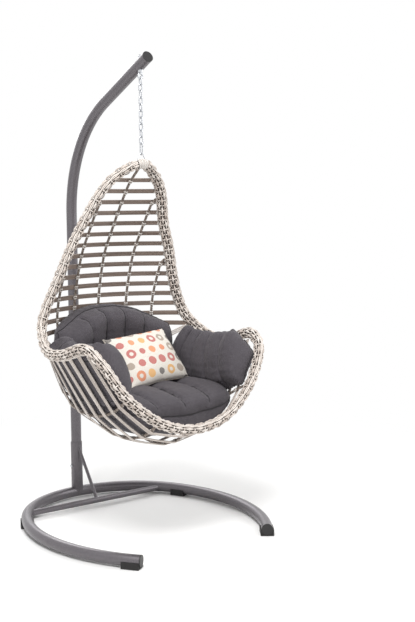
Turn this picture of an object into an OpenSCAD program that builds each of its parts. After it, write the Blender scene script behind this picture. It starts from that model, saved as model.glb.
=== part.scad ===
// Hanging egg chair: a woven basket on a short chain under a curved steel mast.
// Millimetres, Z up, floor at Z = 0. The open side of the basket faces -Y.

/* [Stand] */
// Height of the whole chair
overall_h = 2000; // [1900:5:2100]
// Outer diameter of the base and mast tube
tube_d = 48; // [44:0.5:52]
// Wall of the base and mast tube
tube_wall = 2; // [1.5:0.25:3]
// Half width of the base, to the tube's centre
base_half_w = 472; // [455:1:500]
// Distance of the mast behind the middle, to its centre
base_back = 569; // [560:1:600]
// Radius of the base's rear arc
base_rear_r = 440; // [420:1:450]
// How far the two front ends of the base reach
base_front = 446; // [430:1:470]
// Height of the socket that holds the mast
socket_top = 268; // [240:1:300]
// Wall of the socket
socket_wall = 2.7; // [2:0.1:4]
// Bend radius of the mast
bend_r = 526; // [500:1:560]
// Bend angle of the mast
bend_a = 65; // [60:0.5:68]
// Straight length of the mast beyond the bend
reach_l = 373; // [340:1:390]
// Distance of the cross-bar behind the middle
bar_y = 390; // [370:1:410]
// Diameter of the cross-bar
bar_d = 27; // [22:0.5:32]
// Diameter of the slanting strut
strut_d = 15; // [12:0.5:18]
// Thickness of the rubber under the tube
foot_t = 5.3; // [4:0.1:8]
// Length of one rubber foot along the tube
foot_l = 70; // [50:1:100]

/* [Chain] */
// Thickness of the chain's wire
wire = 6; // [5:0.25:7]
// Inner width of a chain link
link_in = 9; // [8:0.25:11]
// Bow to bow length of a link, between wire centres
link_l = 33.1; // [32:0.1:35]
// Thickness of the eye bolt's wire and shank
eye_wire = 8; // [7:0.25:9]
// Radius of the eye, to the wire's centre
eye_r = 10.5; // [10:0.25:12]
// Bow to bow length of the snap hook
hook_l = 49; // [46:0.5:54]
// Bow radius of the snap hook, to the wire's centre
hook_r = 8; // [7.5:0.25:9]

/* [Basket] */
// Width of the basket over its rim's centre line
basket_w = 846; // [820:1:870]
// Depth of the basket from the front lip to the back
basket_d = 750; // [730:1:770]
// Height of the basket from its bottom to the rim's top
basket_h = 1175; // [1150:1:1200]
// Width of the rim's weave along the shell
rim_w = 46; // [42:0.5:50]
// Thickness of the rim's weave across the shell
rim_t = 38; // [34:0.5:42]
// Diameter of the steel ring inside the rim
core_d = 22; // [20:0.5:25]
// Width of a woven strip
strip_w = 20; // [16:0.5:22]
// Thickness of a woven strip
strip_t = 4; // [3:0.25:5]
// Diameter of a bound rib
rib_d = 9; // [8:0.25:11]
// Distance between the level slats of the back
slat_pitch = 46; // [44:0.25:48]
// Thickness of the throw pillow
pillow_t = 110; // [90:1:130]

/* [Hidden] */
$fn = 48;

// clearances
gap = 0.3;
soft_gap = 0.35;
bolt_d = 8;
bolt_gap = 0.3;
hex_af = 13;
hex_d = hex_af / cos(30);

// colours
c_steel = [0.26, 0.26, 0.28];
c_zinc = [0.62, 0.63, 0.65];
c_rubber = [0.10, 0.10, 0.11];
c_weave = [0.80, 0.75, 0.70];
c_strip = [0.72, 0.66, 0.61];
c_cloth = [0.29, 0.28, 0.30];
c_pillow = [0.88, 0.85, 0.82];

// ---- stand, derived ----
tube_r = tube_d / 2;
ring_z = tube_r + foot_t;
rear_l = base_back - base_rear_r;
side_r = (pow(base_half_w, 2) - pow(base_rear_r, 2) + pow(rear_l, 2)) / (2 * (base_half_w - base_rear_r));
side_c = side_r - base_half_w;
rear_a = atan2(rear_l, side_c);
front_a = asin(base_front / side_r);
socket_d = tube_d + 2 * (gap + socket_wall);
cap_t = 3;
plug_t = 4;
// The whole chair is centred front to back on Y = 0.
front_end = base_front + plug_t * cos(front_a) + tube_r * sin(front_a);
side_y = (front_end - base_back - socket_d / 2) / 2;
rear_y = side_y + rear_l;
mast_y = side_y + base_back;
bar_at = side_y + bar_y;
tip_rise = bend_r * sin(bend_a) + (reach_l + cap_t) * cos(bend_a) + tube_r * sin(bend_a);
bend_z = overall_h - tip_rise;
tip_y = mast_y - bend_r * (1 - cos(bend_a)) - reach_l * sin(bend_a);
tip_z = bend_z + bend_r * sin(bend_a) + reach_l * cos(bend_a);
bar_z = ring_z - 3;
bolt_z = 155;
strut_rise = 1.37;

// ---- chain, derived ----
hang_y = tip_y + 54.5;
eye_c = tip_z - (hang_y - tip_y) / tan(bend_a);
half_v = tube_r / sin(bend_a);
washer_d = 22;
washer_drop = washer_d / 2 / tan(bend_a) + 1;
washer_lo = eye_c - half_v - washer_drop;
washer_hi = eye_c + half_v + washer_drop;
eye_top = washer_lo - eye_wire / 2;
eye_low = eye_top - 2 * eye_r;
link_r = (link_in + wire) / 2;
first_top = eye_low + eye_wire / 2 + wire / 2 + gap;
link_step = link_l - wire - gap;
function link_top(n) = first_top - (n - 1) * link_step;
hook_top = link_top(10) - link_l + wire + gap;
hook_low = hook_top - hook_l;
loop_top = hook_low + wire + gap;

// ---- basket, derived ----
// Shape points are written for a basket 846 wide, 750 deep and 1175 high,
// as offsets from the rim's apex, and are stretched to the sizes above.
kx = basket_w / 846;
ky = basket_d / 750;
kz = basket_h / 1175;
loop_r = 9;
loop_lean = 25;
loop_foot_x = 20;
apex_drop = 44.5;
apex = [0, hang_y, loop_top - apex_drop];
function at(p) = [apex[0] + kx * p[0], apex[1] + ky * p[1], apex[2] + kz * p[2]];

function unit(v) = v / norm(v);
function mir(v) = [-v[0], v[1], v[2]];
function cr(a, b, c, d, t) =
    0.5 * (2 * b + (c - a) * t + (2 * a - 5 * b + 4 * c - d) * t * t
    + (3 * b - a - 3 * c + d) * t * t * t);

// Right half of the rim from the apex down, round the arm and to the front lip:
// place, then the way the shell leaves the rim there.
rim_half = [
    [[0, 0, 0], [0, 0.82, -0.57]],
    [[84, 38, -38], [-0.45, 0.80, -0.40]],
    [[150, 80, -114], [-0.70, 0.65, -0.30]],
    [[205, 142, -246], [-0.80, 0.60, 0]],
    [[250, 170, -351], [-0.80, 0.60, 0]],
    [[300, 208, -496], [-0.78, 0.62, -0.05]],
    [[342, 225, -601], [-0.75, 0.60, -0.25]],
    [[376, 202, -684], [-0.62, 0.35, -0.70]],
    [[414, 88, -760], [-0.50, 0.08, -0.86]],
    [[423, -52, -760], [-0.48, 0, -0.88]],
    [[410, -204, -722], [-0.46, 0, -0.89]],
    [[385, -294, -778], [-0.50, 0.30, -0.81]],
    [[300, -336, -914], [-0.32, 0.62, -0.72]],
    [[160, -364, -1022], [-0.10, 0.80, -0.59]],
    [[0, -372, -1058], [0, 0.87, -0.49]]
];
rim_n = 28;
function rim_row(i) =
    let (m = (i + rim_n) % rim_n)
    m <= 14 ? [at(rim_half[m][0]), rim_half[m][1]]
    : [mir(at(rim_half[rim_n - m][0])), mir(rim_half[rim_n - m][1])];
function rim_at(s) =
    let (i = floor(s), t = s - i)
    cr(rim_row(i - 1)[0], rim_row(i)[0], rim_row(i + 1)[0], rim_row(i + 2)[0], t);
function rim_way(s) = unit(rim_at(s + 0.02) - rim_at(s - 0.02));
function rim_in(s) =
    let (i = floor(s), t = s - i, w = rim_way(s))
    let (u = cr(rim_row(i - 1)[1], rim_row(i)[1], rim_row(i + 1)[1], rim_row(i + 2)[1], t))
    unit(u - (u * w) * w);

// One oval outline across the rim at s.
function rim_oval(s, a, b, n) =
    let (c = rim_at(s), u = rim_in(s), v = cross(rim_way(s), u))
    [for (k = [0:n - 1]) c + a * cos(360 * (k + 0.5) / n) * u + b * sin(360 * (k + 0.5) / n) * v];

// Closed skin through a row of outlines with n corners each.
module skin(rows, n, looped = false) {
    m = len(rows);
    last = looped ? m - 1 : m - 2;
    sides = [for (j = [0:last]) for (k = [0:n - 1])
        [j * n + k, j * n + (k + 1) % n, ((j + 1) % m) * n + (k + 1) % n, ((j + 1) % m) * n + k]];
    ends = looped ? [] : [
        [for (k = [n - 1:-1:0]) k],
        [for (k = [0:n - 1]) (m - 1) * n + k]
    ];
    polyhedron(points = [for (r = rows) each r], faces = concat(sides, ends), convexity = 10);
}

// Open sleeve: outer and inner outlines with n corners each, closed by a ring at both ends.
module sleeve(outer, inner, n) {
    m = len(outer);
    k = m * n;
    out = [for (j = [0:m - 2]) for (i = [0:n - 1])
        [j * n + i, j * n + (i + 1) % n, (j + 1) * n + (i + 1) % n, (j + 1) * n + i]];
    in = [for (j = [0:m - 2]) for (i = [0:n - 1])
        [k + j * n + i, k + (j + 1) * n + i, k + (j + 1) * n + (i + 1) % n, k + j * n + (i + 1) % n]];
    first = [for (i = [0:n - 1]) [i, k + i, k + (i + 1) % n, (i + 1) % n]];
    f = (m - 1) * n;
    last = [for (i = [0:n - 1]) [f + i, f + (i + 1) % n, k + f + (i + 1) % n, k + f + i]];
    polyhedron(points = concat([for (r = outer) each r], [for (r = inner) each r]),
        faces = concat(out, in, first, last), convexity = 10);
}

rim_sides = 10;
rim_steps = 4;
bind_s = 0.115;
weave_s = 0.277;
round_k = 1 / cos(180 / rim_sides);
core_r = core_d / 2 * round_k;
bore_r = (core_d / 2 + gap) * round_k;

// ---- the shell: level slats of the back, then strips that hang under the arms ----
slats = 15;
slat_top = 65 * kz;
function slat_z(k) = apex[2] - slat_top - slat_pitch * kz * (k - 1);

// Middle line of the back, from the apex to the lowest slat, in Y and Z.
back_line = [
    [0, 0, 0], [0, 0, 0], [0, 92, -66], [0, 181, -178], [0, 244, -272], [0, 307, -369],
    [0, 347, -484], [0, 371, -595], [0, 379, -709], [0, 378, -790]
];
function line_at(p, s) =
    let (i = floor(s), t = s - i, m = len(p) - 1)
    cr(p[max(i - 1, 0)], p[min(i, m)], p[min(i + 1, m)], p[min(i + 2, m)], t);
back_table = [for (s = [8.9:-0.1:1]) let (q = at(line_at(back_line, s))) [q[2], q[1]]];
rim_x_table = [for (s = [7.6:-0.1:0.3]) let (q = rim_at(s)) [q[2], q[0]]];
rim_y_table = [for (s = [7.6:-0.1:0.3]) let (q = rim_at(s)) [q[2], q[1]]];

// A level slat is an arc through both sides of the rim and the middle line.
function slat_mid(z) = lookup(z, back_table);
function slat_r(z) =
    let (x = lookup(z, rim_x_table), g = slat_mid(z) - lookup(z, rim_y_table))
    (x * x + g * g) / (2 * g);
function slat_lean(z) = atan((slat_mid(z - 8) - slat_mid(z + 8)) / 16);
function slat_half(z) =
    let (x = lookup(z, rim_x_table), y = lookup(z, rim_y_table), r = slat_r(z))
    let (dx = lookup(z - 8, rim_x_table) - lookup(z + 8, rim_x_table))
    let (dy = lookup(z - 8, rim_y_table) - lookup(z + 8, rim_y_table))
    let (m = norm([dx, dy]) / 16)
    let (e = (rim_w / 2 + gap) * sqrt(1 + m * m * 0.35) + strip_w / 2 * m)
    atan2(x, y - slat_mid(z) + r) - e / r * 57.3;

// Place, inward way and width way where a rib at x crosses slat k.
function slat_cross(k, x) =
    let (z = slat_z(k), r = slat_r(z), f = asin(x / r), t = slat_lean(z))
    let (out = [sin(f), cos(f), 0])
    [[x, slat_mid(z) - r + r * cos(f), z], -out * cos(t) - [0, 0, sin(t)], out * sin(t) - [0, 0, cos(t)], 1];

// Lines of the ribs below the last slat, down through the bowl to the rim.
low_z = slat_z(slats);
rib_x = [0, 136 * kx, 248 * kx];
function low_start(i) = slat_cross(slats, rib_x[i])[0];
low_lines = [
    [[0, 370, -826], [0, 334, -939], [0, 270, -1031], [0, 168, -1112], [0, 48, -1160], [0, -68, -1175],
     [0, -150, -1162], [0, -219, -1140], [0, -292, -1103], [0, -372, -1058]],
    [[142, 348, -826], [147, 310, -931], [152, 246, -1016], [156, 148, -1084], [159, 31, -1121],
     [160, -43, -1127], [161, -106, -1124], [163, -177, -1112], [168, -252, -1086], [175, -322, -1050],
     [179, -365, -1010]],
    [[258, 300, -806], [266, 278, -891], [272, 230, -954], [276, 168, -996], [279, 104, -1018],
     [280, 38, -1027], [281, -19, -1029], [283, -92, -1019], [285, -135, -1008], [288, -189, -990],
     [292, -244, -964], [297, -329, -914]]
];
function low_pts(i) =
    let (a = low_start(i))
    concat([a + [0, 0, 60]], [a], [for (p = low_lines[i]) at(p)]);
function low_curve(i) =
    let (p = low_pts(i))
    [for (s = [1:0.2:len(p) - 1 + 0.001]) line_at(p, s)];
low_rib = [for (i = [0:2]) low_curve(i)];
function sums(p, i, acc) =
    i >= len(p) ? acc : sums(p, i + 1, concat(acc, [acc[i - 1] + norm(p[i] - p[i - 1])]));
low_len = [for (i = [0:2]) sums(low_rib[i], 1, [0])];
function along(i, f) =
    let (l = low_len[i], p = low_rib[i], d = f * l[len(l) - 1])
    let (tx = [for (k = [0:len(l) - 1]) [l[k], p[k][0]]])
    let (ty = [for (k = [0:len(l) - 1]) [l[k], p[k][1]]])
    let (tz = [for (k = [0:len(l) - 1]) [l[k], p[k][2]]])
    [lookup(d, tx), lookup(d, ty), lookup(d, tz)];

// Strips 16 to 25: share of each rib's length, and place on the rim.
low_n = 10;
low_f = [0.10, 0.205, 0.315, 0.42, 0.51, 0.595, 0.675, 0.755, 0.835, 0.912, 0.96];
function rim_s(j) = j <= 3 ? 7.13 + 0.16 * j : j <= 10 ? 7.78 + 0.36 * (j - 4) : 11.1;
function low_pt(j, i) =
    i == 0 ? along(0, low_f[j - 1])
    : abs(i) == 3 ? (i > 0 ? rim_at(rim_s(j)) : mir(rim_at(rim_s(j))))
    : (i > 0 ? along(i, low_f[j - 1]) : mir(along(-i, low_f[j - 1])));
function low_w(j, i) =
    abs(i) == 3 ? (i > 0 ? rim_way(rim_s(j)) : mir(rim_way(rim_s(j))))
    : let (a = abs(i), w = unit(along(a, low_f[j - 1] + 0.015) - along(a, low_f[j - 1] - 0.015)))
    (i < 0 ? mir(w) : w);
// Place, inward way, width way and mitre where strip j meets line i, from -3 to 3.
function low_cross(j, i) =
    let (p = low_pt(j, i))
    let (e1 = i > -3 ? unit(p - low_pt(j, i - 1)) : unit(low_pt(j, i + 1) - p))
    let (e2 = i < 3 ? unit(low_pt(j, i + 1) - p) : e1)
    let (w0 = low_w(j, i), e = unit(e1 + e2), w = unit(w0 - (w0 * e) * e))
    [p, unit(cross(w, e)), w, sqrt((1 + e1 * e2) / 2)];

// ---- ribs: round bars that lie inside the strips and touch each one ----
seat_in = strip_t / 2 + rib_d / 2 + gap * 0.5;
function rib_pt(c, extra) = c[0] + c[1] * (extra / c[3]);
// Where a bar or strip that comes from p stops at the rim's weave, half its thickness being h.
function rim_end(s, p, h) =
    let (c = rim_at(s), d = unit(p - c), k = d * rim_in(s))
    c + d * ((rim_w / 2 / round_k + gap) / k + h * sqrt(1 - k * k) / k);
first_slat = [1, 3, 9];
rib_top_s = [0, 2.08, 4.25];
rib_low_s = [14, 12.86, 11.97];
function rib_cross(i) =
    concat([for (k = [first_slat[i]:slats]) slat_cross(k, rib_x[i])], [for (j = [1:low_n]) low_cross(j, i)]);
function rib_line(i, extra) =
    let (q = rib_cross(i), n = len(q))
    let (c = [for (k = [0:n - 1]) rib_pt(q[k], extra + (i > 0 && (k == 0 || k == n - 1) ? 1.6 : 0))])
    concat([rim_end(rib_top_s[i], c[0], rib_d / 2)], c, [rim_end(rib_low_s[i], c[len(c) - 1], rib_d / 2)]);
rib_sides = 8;
module rib(i) {
    p = rib_line(i, seat_in);
    m = len(p);
    r = rib_d / 2;
    rows = [for (k = [0:m - 1])
        let (w = unit(p[min(k + 1, m - 1)] - p[max(k - 1, 0)]))
        let (u = unit(cross(w, [1, 0, 0])), v = cross(w, u))
        [for (a = [0:rib_sides - 1])
            p[k] + r * cos(360 * a / rib_sides) * u + r * sin(360 * a / rib_sides) * v]];
    skin(rows, rib_sides);
}

module slat(k) {
    z = slat_z(k);
    r = slat_r(z);
    f = slat_half(z);
    color(c_strip)
    translate([0, slat_mid(z) - r, z])
        rotate([0, 0, 90 - f])
            rotate_extrude(angle = 2 * f, $fn = 96)
                translate([r, 0])
                    rotate(slat_lean(z))
                        square([strip_t, strip_w], center = true);
}

function strip_stop(j) =
    let (p = low_pt(j, 2), e = rim_end(rim_s(j), p, strip_t / 2))
    e + unit(p - e) * (j == 1 ? 6 : j == 10 ? 7.5 : 0.5);
function strip_end(j, i, p) = i == 3 ? strip_stop(j) : i == -3 ? mir(strip_stop(j)) : p;
module strip(j) {
    rows = [for (i = [-3:3])
        let (c = low_cross(j, i), n = c[1] * (strip_t / 2 / c[3]), w = c[2] * strip_w / 2)
        let (e = strip_end(j, i, c[0]))
        [e + n + w, e + n - w, e - n - w, e - n + w]];
    skin(rows, 4);
}

// ---- soft parts: forms laid on the shell ----
function cross_at(q, i) =
    q > slats ? low_cross(q - slats, i)
    : abs(i) < 3 ? slat_cross(q, (i < 0 ? -1 : 1) * rib_x[abs(i)])
    : let (z = slat_z(q), x = slat_r(z) * sin(slat_half(z)) - 6)
    slat_cross(q, (i < 0 ? -1 : 1) * x);
// Inner face of the shell at hoop q and line i, clear of strips and ribs.
rib_depth = strip_t / 2 + rib_d + gap * 0.5 + soft_gap;
function bed_pt(q, i) =
    let (c = cross_at(q, i))
    abs(i) < 3 ? rib_pt(c, rib_depth)
    : q > slats
    ? c[0] + unit(low_pt(q - slats, i > 0 ? 2 : -2) - c[0]) * (rim_w / 2 + 5) + c[1] * (strip_t / 2 + soft_gap)
    : c[0] + c[1] * (strip_t / 2 + soft_gap);
bed = [for (q = [11:26]) [for (i = [-3:3]) bed_pt(q, i)]];
bed_n = [for (q = [11:26]) [for (i = [-3:3]) cross_at(q, i)[1]]];
function mix(g, q, v) =
    let (a = min(floor(q), 25), b = min(floor(v), 2), s = q - a, t = v - b, r = a - 11, c = b + 3)
    (1 - s) * ((1 - t) * g[r][c] + t * g[r][c + 1]) + s * ((1 - t) * g[r + 1][c] + t * g[r + 1][c + 1]);

// Closed cushion between a lower and an upper grid.
module cushion(lo, hi) {
    n = len(lo) - 1;
    m = len(lo[0]) - 1;
    k = (n + 1) * (m + 1);
    function id(a, b) = a * (m + 1) + b;
    top = [for (a = [0:n - 1]) for (b = [0:m - 1])
        [k + id(a, b), k + id(a, b + 1), k + id(a + 1, b + 1), k + id(a + 1, b)]];
    low = [for (a = [0:n - 1]) for (b = [0:m - 1]) [id(a, b), id(a + 1, b), id(a + 1, b + 1), id(a, b + 1)]];
    s1 = [for (b = [0:m - 1]) [id(0, b), id(0, b + 1), k + id(0, b + 1), k + id(0, b)]];
    s2 = [for (b = [0:m - 1]) [k + id(n, b), k + id(n, b + 1), id(n, b + 1), id(n, b)]];
    s3 = [for (a = [0:n - 1]) [k + id(a, 0), k + id(a + 1, 0), id(a + 1, 0), id(a, 0)]];
    s4 = [for (a = [0:n - 1]) [id(a, m), id(a + 1, m), k + id(a + 1, m), k + id(a, m)]];
    polyhedron(points = concat([for (r = lo) each r], [for (r = hi) each r]),
        faces = concat(top, low, s1, s2, s3, s4), convexity = 8);
}
function ease(k, n) = (1 - cos(180 * k / n)) / 2;
// Places across a cushion with stitched channels: four steps to each panel.
panel = [0, 0.16, 0.5, 0.84];
function cols(panels) = concat([for (p = [0:panels - 1]) for (s = panel) (p + s) / panels], [1]);
// Height factor of the same places: low at a channel and at the ends, full between.
function puff(panels, k, dip) =
    let (r = k % 4)
    (k == 0 || k == 4 * panels) ? 0.42 : r == 0 ? dip : r == 2 ? 1 : (k == 1 || k == 4 * panels - 1) ? 0.86 : 0.95;

// Back cushion: channels run up and down, and the top edge is arched.
module back_form(q0, q1, v1, thick, panels, rows, arch) {
    x = cols(panels);
    function row_q(s, t) = let (top = q0 + arch * pow(2 * t - 1, 2)) top + (q1 - top) * s;
    lo = [for (a = [0:rows]) [for (t = x)
        mix(bed, row_q(ease(a, rows), t), v1 * (2 * t - 1))]];
    hi = [for (a = [0:rows]) [for (k = [0:len(x) - 1])
        let (q = row_q(0.02 + 0.96 * ease(a, rows), x[k]), v = v1 * 0.985 * (2 * x[k] - 1))
        let (f = (0.34 + 0.66 * pow(sin(180 * a / rows), 0.6)) * (1 - 0.24 * a / rows))
        mix(bed, q, v) + unit(mix(bed_n, q, v)) * (thick * f * puff(panels, k, 0.84))]];
    cushion(lo, hi);
}
// Arm cushion: channels run from the seat up to the top edge, which stands above the rim.
module arm_form(q0, q1, v0, v1, thick, rise, panels, rows) {
    x = cols(panels);
    lo = [for (a = [0:rows]) [for (t = x)
        let (q = q0 + (q1 - q0) * t, v = v1 + (v0 - v1) * ease(a, rows))
        mix(bed, q, v) + unit(mix(bed_n, q, v)) * (2.4 * min(max(q - 23.2, 0), 1))]];
    hi = [for (a = [0:rows]) [for (k = [0:len(x) - 1])
        let (q = q0 + (q1 - q0) * (0.015 + 0.97 * x[k]), v = v1 + (v0 - v1) * (0.02 + 0.96 * ease(a, rows)))
        let (p = puff(panels, k, 0.84), f = 0.30 + 0.70 * pow(sin(180 * a / rows), 0.6))
        mix(bed, q, v) + unit(mix(bed_n, q, v)) * (thick * f * p) + [0, 0, rise * sin(180 * sqrt(a / rows)) * p]]];
    cushion(lo, hi);
}

// Lines of rest for the seat cushion, as tables over Y.
function rest_line(i) =
    let (c = rib_cross(i), n = len(c))
    [for (k = [n - 1:-1:n - low_n - 1]) rib_pt(c[k], rib_depth)];
rest = [for (i = [0:2]) rest_line(i)];
rest_z = [for (i = [0:2]) [for (p = rest[i]) [p[1], p[2]]]];
rest_x = [for (i = [0:2]) [for (p = rest[i]) [p[1], p[0]]]];
edge_z = [for (s = [12:-0.25:6]) [rim_at(s)[1], rim_at(s)[2]]];
edge_x = [for (s = [12:-0.25:6]) [rim_at(s)[1], rim_at(s)[0] - rim_w / 2]];
function bowl_z(x, y) =
    let (a = abs(x), x1 = lookup(y, rest_x[1]), x2 = lookup(y, rest_x[2]), x3 = lookup(y, edge_x))
    let (z0 = lookup(y, rest_z[0]), z1 = lookup(y, rest_z[1]), z2 = lookup(y, rest_z[2]))
    let (z3 = lookup(y, edge_z))
    a < x1 ? z0 + (z1 - z0) * a / x1
    : a < x2 ? z1 + (z2 - z1) * (a - x1) / (x2 - x1)
    : z2 + (z3 - z2) * (a - x2) / (x3 - x2);

seat_hx = 282 * kx;
seat_front = -322 * ky;
seat_rear = 262 * ky;
seat_flat = apex[2] - 1096 * kz;
seat_level = apex[2] - 958 * kz;
seat_panels = 4;
seat_rows = 14;
module seat_form() {
    x = cols(seat_panels);
    yc = hang_y + (seat_front + seat_rear) / 2 + 18;
    hy = (seat_rear - seat_front) / 2;
    function plan(u, v, s) = [s * seat_hx * u * sqrt(1 - 0.30 * v * v), yc - s * hy * v * sqrt(1 - 0.34 * u * u)];
    lo = [for (a = [0:seat_rows]) [for (k = [0:len(x) - 1])
        let (p = plan(2 * x[k] - 1, 2 * ease(a, seat_rows) - 1, 0.985))
        [p[0], p[1], max(bowl_z(p[0], p[1]), seat_flat) + 4.8 * min(max((hang_y - 262 - p[1]) / 16, 0), 1)]]];
    hi = [for (a = [0:seat_rows]) [for (k = [0:len(x) - 1])
        let (p = plan(2 * x[k] - 1, 2 * ease(a, seat_rows) - 1, 1))
        let (front = min(max((hang_y - p[1] - 130) / 190, 0), 1))
        let (f = pow(sin(180 * a / seat_rows), 0.5) * puff(seat_panels, k, 0.72))
        let (z = seat_level - 24 * front * front + 42 * f)
        [p[0], p[1], max(z, bowl_z(p[0], p[1]) + 34)]]];
    cushion(lo, hi);
}

// Throw pillow: two crowned faces that meet in a seam, leaning back on the cushions.
pillow_w = 330;
pillow_h = 270;
pillow_at = [18, hang_y + 93.56, apex[2] - 801.32];
pillow_tilt = 38;
pillow_turn = 4;
pillow_roll = -3;
module pillow_form() {
    n = 12;
    function edge(t) = 1 - 0.07 * (1 - pow(2 * t - 1, 2));
    function pt(a, b, side) =
        let (s = ease(a, n), t = ease(b, n))
        let (x = (s - 0.5) * pillow_w * edge(t), y = (t - 0.5) * pillow_h * edge(s))
        let (h = pow(sin(180 * a / n) * sin(180 * b / n), 0.62))
        [x, y, side * (2 + (pillow_t / 2 - 2) * h)];
    lo = [for (a = [0:n]) [for (b = [0:n]) pt(n - a, b, -1)]];
    hi = [for (a = [0:n]) [for (b = [0:n]) pt(n - a, b, 1)]];
    cushion(lo, hi);
}

// ---- stand ----
module rear_arc(r, over) {
    translate([0, rear_y, ring_z])
        rotate([0, 0, rear_a - over])
            rotate_extrude(angle = 180 - 2 * rear_a + 2 * over, $fn = 120)
                translate([base_rear_r, 0])
                    circle(r);
}
module side_arc(r, over, short) {
    translate([-side_c, side_y, ring_z])
        rotate([0, 0, -front_a - over])
            rotate_extrude(angle = front_a + rear_a + 2 * over - short, $fn = 120)
                translate([side_r, 0])
                    circle(r);
}
module base_arcs(r) {
    rear_arc(r, 0);
    side_arc(r, 0, 0);
    mirror([1, 0, 0]) side_arc(r, 0, 0);
}
// Three lengths of tube that butt together over hidden sleeves.
module base_ring() {
    joint_a = gap / side_r * 57.2958;
    color(c_steel) {
        difference() {
            rear_arc(tube_r, 0);
            rear_arc(tube_r - tube_wall, 1);
        }
        for (m = [0, 1])
            mirror([m, 0, 0])
                difference() {
                    side_arc(tube_r, 0, joint_a);
                    side_arc(tube_r - tube_wall, 1, 0);
                }
    }
}
module cross_bar() {
    half = sqrt(pow(base_rear_r, 2) - pow(bar_at - rear_y, 2));
    color(c_steel)
    difference() {
        translate([-half, bar_at, bar_z]) rotate([0, 90, 0]) cylinder(d = bar_d, h = 2 * half);
        base_arcs(tube_r);
    }
}
module socket_solid() {
    translate([0, mast_y, ring_z]) cylinder(d = socket_d, h = socket_top - ring_z);
}
module strut() {
    run = mast_y - socket_d / 2 + 6 - bar_at;
    q = [0, bar_at, bar_z];
    p = q + [0, run, run * strut_rise];
    lean = atan2(p[1] - q[1], p[2] - q[2]);
    color(c_steel)
    difference() {
        translate(q) rotate([-lean, 0, 0]) cylinder(d = strut_d, h = norm(p - q));
        socket_solid();
        translate([-40, bar_at, bar_z]) rotate([0, 90, 0]) cylinder(d = bar_d, h = 80);
    }
}
module post_socket() {
    color(c_steel)
    difference() {
        socket_solid();
        translate([0, mast_y, 0]) cylinder(d = tube_d + 2 * gap, h = socket_top + 1);
        base_arcs(tube_r);
        translate([-socket_d, mast_y, bolt_z]) rotate([0, 90, 0]) cylinder(d = bolt_d + 2 * bolt_gap, h = 2 * socket_d);
    }
}
// The mast in three lengths that butt together: post, bend and reach.
module mast() {
    foot = ring_z + tube_r + gap;
    bore = tube_r - tube_wall;
    color(c_steel) {
        difference() {
            translate([0, mast_y, foot]) cylinder(r = tube_r, h = bend_z - gap - foot);
            translate([0, mast_y, foot - 1]) cylinder(r = bore, h = bend_z - foot + 2);
            translate([-tube_d, mast_y, bolt_z]) rotate([0, 90, 0]) cylinder(d = bolt_d + 2 * bolt_gap, h = 2 * tube_d);
        }
        translate([0, mast_y - bend_r, bend_z])
            rotate([90, 0, 90])
                rotate_extrude(angle = bend_a, $fn = 120)
                    translate([bend_r, 0])
                        difference() {
                            circle(tube_r);
                            circle(bore);
                        }
        difference() {
            translate([0, mast_y - bend_r * (1 - cos(bend_a)), bend_z + bend_r * sin(bend_a)])
                rotate([bend_a, 0, 0])
                    difference() {
                        translate([0, 0, gap]) cylinder(r = tube_r, h = reach_l - gap);
                        translate([0, 0, -1]) cylinder(r = bore, h = reach_l + 3);
                    }
            translate([0, hang_y, eye_c - 2 * tube_d]) cylinder(d = eye_wire + 2 * bolt_gap, h = 4 * tube_d);
        }
    }
}
module mast_cap() {
    color(c_rubber)
    translate([0, tip_y, tip_z])
        rotate([bend_a, 0, 0]) {
            cylinder(d = tube_d, h = cap_t);
            translate([0, 0, -18]) cylinder(r = tube_r - tube_wall - gap, h = 18.5);
        }
}
module end_plugs() {
    color(c_rubber)
    for (m = [0, 1])
        mirror([m, 0, 0])
            translate([-side_c, side_y, ring_z])
                rotate([0, 0, -front_a])
                    translate([side_r, 0, 0])
                        rotate([90, 0, 0]) {
                            cylinder(d = tube_d, h = plug_t);
                            translate([0, 0, -16]) cylinder(r = tube_r - tube_wall - 0.4, h = 16.5);
                        }
}
module foot_at(a) {
    span = foot_l / side_r * 57.2958;
    translate([-side_c, side_y, ring_z])
        rotate([0, 0, a])
            rotate_extrude(angle = span, $fn = 180)
                translate([side_r, 0])
                    difference() {
                        translate([-tube_r - 4, -ring_z]) square([tube_d + 8, ring_z - 2]);
                        circle(tube_r);
                    }
}
module foot_pads() {
    color(c_rubber)
    for (m = [0, 1])
        mirror([m, 0, 0]) {
            foot_at(-front_a);
            foot_at(rear_a - foot_l / side_r * 57.2958);
        }
}
module socket_bolt() {
    color(c_zinc)
    translate([-socket_d / 2, mast_y, bolt_z])
        rotate([0, 90, 0]) {
            cylinder(d = bolt_d, h = socket_d + 9);
            translate([0, 0, -5.3]) cylinder(d = hex_d, h = 5.3, $fn = 6);
        }
}
module socket_nut() {
    color(c_zinc)
    translate([socket_d / 2, mast_y, bolt_z])
        rotate([0, 90, 0])
            difference() {
                cylinder(d = hex_d, h = 6.5, $fn = 6);
                translate([0, 0, -1]) cylinder(d = bolt_d + 0.1, h = 9);
            }
}

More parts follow.
